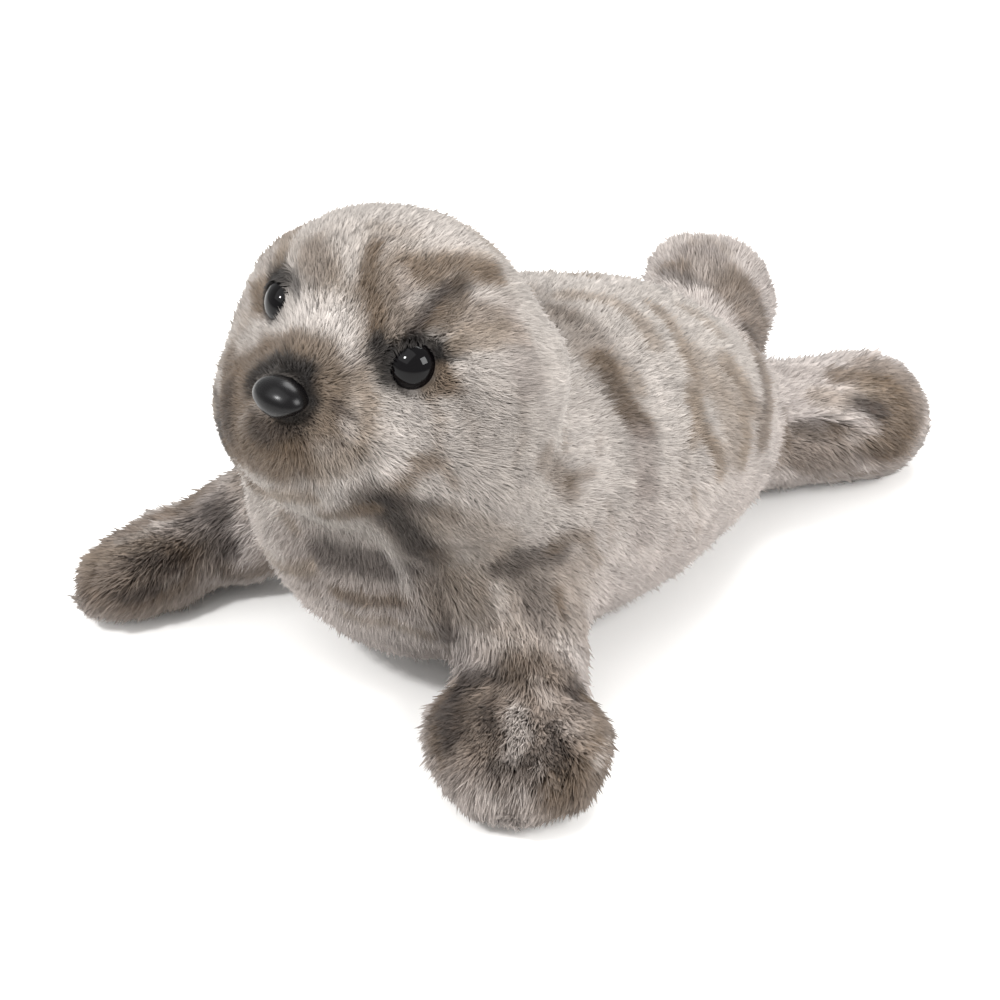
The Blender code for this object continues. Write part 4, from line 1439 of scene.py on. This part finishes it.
    def set_locks(self, coat: bpy.types.Object, tree: bpy.types.NodeTree, group: bpy.types.Collection,
                  seed: int) -> bpy.types.Object:
        """Turns one section's roots into locks, as a plain mesh.

        Args:
            coat: the roots.
            tree: the tree that sets the locks.
            group: the shapes of lock.
            seed: picks which shape stands where.

        Returns:
            The same object, holding the locks.
        """
        modifier = coat.modifiers.new("locks", "NODES")
        modifier.node_group = tree
        named = {item.name: item.identifier for item in tree.interface.items_tree}
        modifier[named["Locks"]] = group
        modifier[named["Seed"]] = seed
        modifier[named["Cloth"]] = self.cloth
        settle(coat)
        mesh = coat.data
        # Pile that meets the floor is pressed flat against it
        points, _ = read_vectors(mesh)
        points[:, 2] = np.maximum(points[:, 2], self.floor_gap * MM)
        write_points(mesh, points)
        dyes = [f"dye_{part}" for part in DYES_AT]
        read = {name: stored(mesh, name) for name in ("patch", "on_unwrap", "up", *dyes)}
        along = stored(mesh, "along")
        dyed = sum(read[f"dye_{part}"] * np.isclose(along, spot) for part, spot in ALONG.items())
        store(mesh, "pile_colour", "FLOAT_COLOR", np.column_stack([dyed, np.ones(len(dyed))]))
        flat = (read["on_unwrap"] + read["patch"] * PATCH)[:, :2]
        corners = np.empty(len(mesh.loops), np.int32)
        mesh.loops.foreach_get("vertex_index", corners)
        unwrap = mesh.uv_layers.new(name="OFBake")
        unwrap.data.foreach_set("uv", flat[corners].astype(np.float32).ravel())
        for name in (*read, "lie", "size"):
            if name in mesh.attributes:
                mesh.attributes.remove(mesh.attributes[name])
        mesh.shade_smooth()
        _, normals = read_vectors(mesh)
        # Locks shade mostly as the body they lie on, which is what makes pile look soft
        mesh.normals_split_custom_set_from_vertices(unit(read["up"] + self.stiffness * normals).tolist())
        return coat


# --------------------------------------------------------------------------- face


@dataclass(frozen=True)
class GlossPlastic:
    """A near-black plastic that shows the lamps.

    `grain_size` is in millimetres, and `uneven` is the share by which its roughness varies either way.
    """

    name: str
    colour: str
    roughness: float
    ior: float
    specular: float
    grain: float
    grain_size: float
    uneven: float = 0.2

    def build(self) -> bpy.types.Material:
        """Makes the material, with the faint grain of its mould.

        Returns:
            The material.
        """
        made = blank_material(self.name)
        tree = made.node_tree
        place = add_node(tree, "ShaderNodeTexCoord")
        grain = add_node(tree, "ShaderNodeTexNoise", {
            "Vector": place.outputs["Object"], "Scale": 1 / (self.grain_size * MM), "Detail": 3.0})
        rough = add_node(tree, "ShaderNodeMapRange", {
            "Value": grain.outputs["Fac"], "To Min": self.roughness * (1 - self.uneven),
            "To Max": self.roughness * (1 + self.uneven)})
        bump = add_node(tree, "ShaderNodeBump", {
            "Height": grain.outputs["Fac"], "Strength": self.grain, "Distance": 0.1 * MM})
        shader = add_node(tree, "ShaderNodeBsdfPrincipled", {
            "Base Color": (*linear(self.colour), 1), "Roughness": rough.outputs["Result"], "IOR": self.ior,
            "Specular IOR Level": self.specular, "Normal": bump.outputs["Normal"]})
        add_node(tree, "ShaderNodeOutputMaterial", {"Surface": shader.outputs["BSDF"]})
        return made


# Polished acrylic: a deep black that mirrors the lamps as small sharp lights
EYE_PLASTIC = GlossPlastic("polished_black_acrylic", "#040304", roughness=0.05, ior=1.49, specular=0.17,
                           grain=0.02, grain_size=0.6)

# Satin ABS: the mould's grain spreads the lamps into one soft shine
NOSE_PLASTIC = GlossPlastic("satin_black_abs", "#070607", roughness=0.27, ior=1.5, specular=0.2,
                            grain=0.06, grain_size=0.25)


@dataclass(frozen=True)
class SafetyEye:
    """A domed plastic eye on a shank, set into the pile.

    Sizes are in millimetres and angles in degrees. The dome is turned `sweep` degrees down from its top and
    closes in a flange, which narrows to a share of the edge and sinks by `drops`, at its edge and middle.
    """

    side: str
    sign: int
    radius: float = 8.3
    depth: float = 6.8
    turn: float = 40
    rise: float = 14
    sweep: float = 108
    flange: float = 0.6
    drops: tuple[float, float] = (0.4, 0.5)
    steps: int = 28
    around: int = 72

    @classmethod
    def of(cls, side: str) -> SafetyEye:
        """The eye of one side of the head."""
        return cls(side, 1 if side == "left" else -1)

    def axes(self) -> Matrix:
        """The turn that faces the eye outwards and upwards.

        Returns:
            The turn, with +Z the way the eye looks.
        """
        aside, raised = math.radians(self.turn), math.radians(self.rise)
        looks = Vector((self.sign * math.sin(aside), -math.cos(aside), math.tan(raised)))
        return looks.to_track_quat("Z", "Y").to_matrix()

    def centre(self) -> Vector:
        """The middle of the eye."""
        return middle(f"eye_{self.side}")

    def nearness(self, places: np.ndarray) -> np.ndarray:
        """Distance from the eye's middle, 1 on its surface."""
        local = (places - np.array(self.centre())) @ np.array(self.axes())
        return np.linalg.norm(local / (np.array([self.radius, self.radius, self.depth]) * MM), axis=1)

    def build(self, plastic: bpy.types.Material) -> bpy.types.Object:
        """Turns the dome and its narrow flange.

        Args:
            plastic: the eye's material.

        Returns:
            The eye.
        """
        angles = [math.radians(self.sweep) * step / self.steps for step in range(self.steps + 1)]
        profile = [(math.sin(a) * self.radius, math.cos(a) * self.depth) for a in angles]
        edge, foot = profile[-1]
        profile += [(edge * self.flange, foot - self.drops[0]), (0, foot - self.drops[1])]
        points, faces = turned(profile, self.around)
        mesh = bpy.data.meshes.new(f"safety_eye_{self.side}")
        mesh.from_pydata([Vector(point) * MM for point in points], [], faces)
        mesh.transform(Matrix.Translation(self.centre()) @ self.axes().to_4x4())
        mesh.shade_smooth()
        mesh.materials.append(plastic)
        eye = add_object(mesh.name, mesh)
        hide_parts(f"eye_{self.side}")
        return eye


@dataclass(frozen=True)
class MouldedNose:
    """The moulded nose, widest across its middle. Half sizes in millimetres."""

    half: Triple = (10.9, 7.9, 6.8)
    taper: float = 0.35
    around: int = 64
    rings: int = 40

    def centre(self) -> Vector:
        """The middle of the nose, at its widest."""
        low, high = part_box("nose")
        return Vector(((low.x + high.x) / 2, (low.y + high.y) / 2, low.z + self.half[2] * MM))

    def nearness(self, places: np.ndarray) -> np.ndarray:
        """Finds how far places are from the nose.

        Args:
            places: the places, metres.

        Returns:
            Each one's distance from the nose's middle, 1 on its surface.
        """
        local = (places - np.array(self.centre())) / (np.array(self.half) * MM)
        local[:, 0] /= 1 - self.taper * np.clip(-local[:, 2], 0, 1)
        return np.linalg.norm(local, axis=1)

    def build(self, plastic: bpy.types.Material) -> bpy.types.Object:
        """Moulds the nose.

        Args:
            plastic: the nose's material.

        Returns:
            The nose.
        """
        angles = [math.pi * ring / self.rings for ring in range(self.rings + 1)]
        points, faces = turned([(math.sin(a), math.cos(a)) for a in angles], self.around)
        wide, deep, high = self.half
        shaped = [Vector((x * wide * (1 - self.taper * max(0.0, -z)), y * deep, z * high)) * MM
                  for x, y, z in points]
        mesh = bpy.data.meshes.new("moulded_nose")
        mesh.from_pydata(shaped, [], faces)
        mesh.transform(Matrix.Translation(self.centre()))
        mesh.shade_smooth()
        mesh.materials.append(plastic)
        nose = add_object(mesh.name, mesh)
        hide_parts("nose")
        return nose


# --------------------------------------------------------------------------- studio


@dataclass(frozen=True)
class Lamp:
    """A soft lamp: its bearing and height in degrees, how far off, its side in metres and its power."""

    name: str
    bearing: float
    height: float
    away: float
    side: float
    power: float


@dataclass(frozen=True)
class Studio:
    """A pale floor, soft lamps and the camera.

    Angles are in degrees, the lens and sensor in millimetres and the rest in metres.
    """

    aim_from_nose: Triple = (-0.0341, 0.1409, -0.1201)
    bearing: float = 43.76
    height: float = 32.45
    away: float = 1.5006
    lens: float = 144.4
    sensor: float = 36.0
    floor_side: float = 14.0
    paper: str = "#F6F5F3"
    paper_roughness: float = 0.9
    sky: float = 0.85
    lamps: tuple[Lamp, ...] = (
        Lamp("key_lamp", -10, 55, 1.5, 1.5, 10),
        Lamp("window_lamp", 91, 36, 1.3, 0.55, 13),
        Lamp("spark_lamp", -5, 46, 1.5, 0.16, 13),
        Lamp("back_lamp", 200, 55, 1.6, 0.8, 18),
    )

    @staticmethod
    def towards(bearing: float, height: float) -> Vector:
        """The way to something at a bearing from the toy's front and a height above the floor."""
        a, e = math.radians(bearing), math.radians(height)
        return Vector((math.sin(a) * math.cos(e), -math.cos(a) * math.cos(e), math.sin(e)))

    def hold(self, name: str, data: bpy.types.ID, way: Vector, away: float) -> bpy.types.Object:
        """Holds a lamp or the camera off from the toy, looking at it.

        Args:
            name: its name.
            data: the lamp or the camera.
            way: the way to it.
            away: how far off, metres.

        Returns:
            Its object.
        """
        held = add_object(name, data)
        aim = middle("nose") + Vector(self.aim_from_nose)
        held.location = aim + way * away
        held.rotation_euler = way.to_track_quat("Z", "Y").to_euler()
        return held

    def build(self) -> None:
        """Sets the camera, the lamps, the floor and the sky."""
        lens = bpy.data.cameras.new("camera")
        lens.lens, lens.sensor_width = self.lens, self.sensor
        way = self.towards(self.bearing, self.height)
        bpy.context.scene.camera = self.hold("camera", lens, way, self.away)
        for lamp in self.lamps:
            light = bpy.data.lights.new(lamp.name, "AREA")
            light.size, light.energy = lamp.side, lamp.power
            self.hold(lamp.name, light, self.towards(lamp.bearing, lamp.height), lamp.away)
        half = self.floor_side / 2
        mesh = bpy.data.meshes.new("studio_floor")
        mesh.from_pydata([(-half, -half, 0), (half, -half, 0), (half, half, 0), (-half, half, 0)], [],
                         [(0, 1, 2, 3)])
        # Matt paper: an even pale ground that takes a soft shadow and no shine
        paper = bpy.data.materials.new("matt_white_paper")
        paper.use_nodes = True
        shader = paper.node_tree.nodes["Principled BSDF"]
        shader.inputs["Base Color"].default_value = (*linear(self.paper), 1)
        shader.inputs["Roughness"].default_value = self.paper_roughness
        mesh.materials.append(paper)
        add_object("studio_floor", mesh)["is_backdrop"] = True
        sky = bpy.data.worlds.new("studio_sky")
        sky.use_nodes = True
        sky.node_tree.nodes["Background"].inputs["Color"].default_value = (1, 1, 1, 1)
        sky.node_tree.nodes["Background"].inputs["Strength"].default_value = self.sky
        bpy.context.scene.world = sky
        bpy.context.scene.view_settings.view_transform = "Standard"


def unwrap_skin(skin: bpy.types.Object) -> np.ndarray:
    """Unwraps the skin from its own shape, into the map named OFBake.

    Args:
        skin: the skin.

    Returns:
        The unwrap, one row for each corner.
    """
    skin.data.uv_layers.new(name="OFBake")
    bpy.context.view_layer.objects.active = skin
    skin.select_set(True)
    bpy.ops.object.mode_set(mode="EDIT")
    bpy.ops.mesh.select_all(action="SELECT")
    bpy.ops.uv.smart_project(angle_limit=math.radians(66), island_margin=PATCH)
    bpy.ops.object.mode_set(mode="OBJECT")
    skin.select_set(False)
    flat = np.empty(len(skin.data.loops) * 2, np.float32)
    skin.data.uv_layers["OFBake"].data.foreach_get("uv", flat)
    return flat.reshape(-1, 2).astype(float)


def main() -> None:
    """Builds the toy's looks piece by piece."""
    logging.basicConfig(level=logging.INFO, format="%(name)s: %(message)s")
    for startup in list(bpy.data.objects):
        bpy.data.objects.remove(startup, do_unlink=True)
    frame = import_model()
    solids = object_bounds()
    markings = Markings(solids[1].z)
    maker = StuffedSkin(frame)
    skin = maker.build()
    places, normals = read_vectors(skin.data)
    colour = markings.colour_at(places + normals * (maker.pile[:, :1] + maker.grow) * MM)
    store(skin.data, "pile_colour", "FLOAT_COLOR", np.column_stack([colour, np.ones(len(colour))]))
    cloth = PileCloth()
    skin.data.materials.clear()
    skin.data.materials.append(cloth.build(backing=True))
    LOG.info("skin: %d faces", len(skin.data.polygons))
    unwrapped = unwrap_skin(skin)
    LOG.info("skin unwrapped")
    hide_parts(*SECTIONS)
    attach(skin, "root")
    left, right, nose = SafetyEye.of("left"), SafetyEye.of("right"), MouldedNose()
    rims = (Rim(left, 4.0, (-0.7, -0.2, 0.5)), Rim(right, 3.6, (-0.7, 0.4, 0.7)),
            Rim(nose, 4.0, (-0.8, 0.0, 0.3)))
    coat = PileCoat(skin, maker, markings, cloth.build(), rims, thin=1.0)
    total = 0
    for piece in coat.grow(unwrapped):
        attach(piece, "root")
        total += len(piece.data.polygons)
        LOG.info("%s: %d faces", piece.name, len(piece.data.polygons))
    LOG.info("pile: %d faces in all", total)
    acrylic = EYE_PLASTIC.build()
    for eye in (left, right):
        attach(eye.build(acrylic), "root")
    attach(nose.build(NOSE_PLASTIC.build()), "root")
    LOG.info("eyes and nose set")
    Studio().build()


if __name__ == "__main__":
    main()
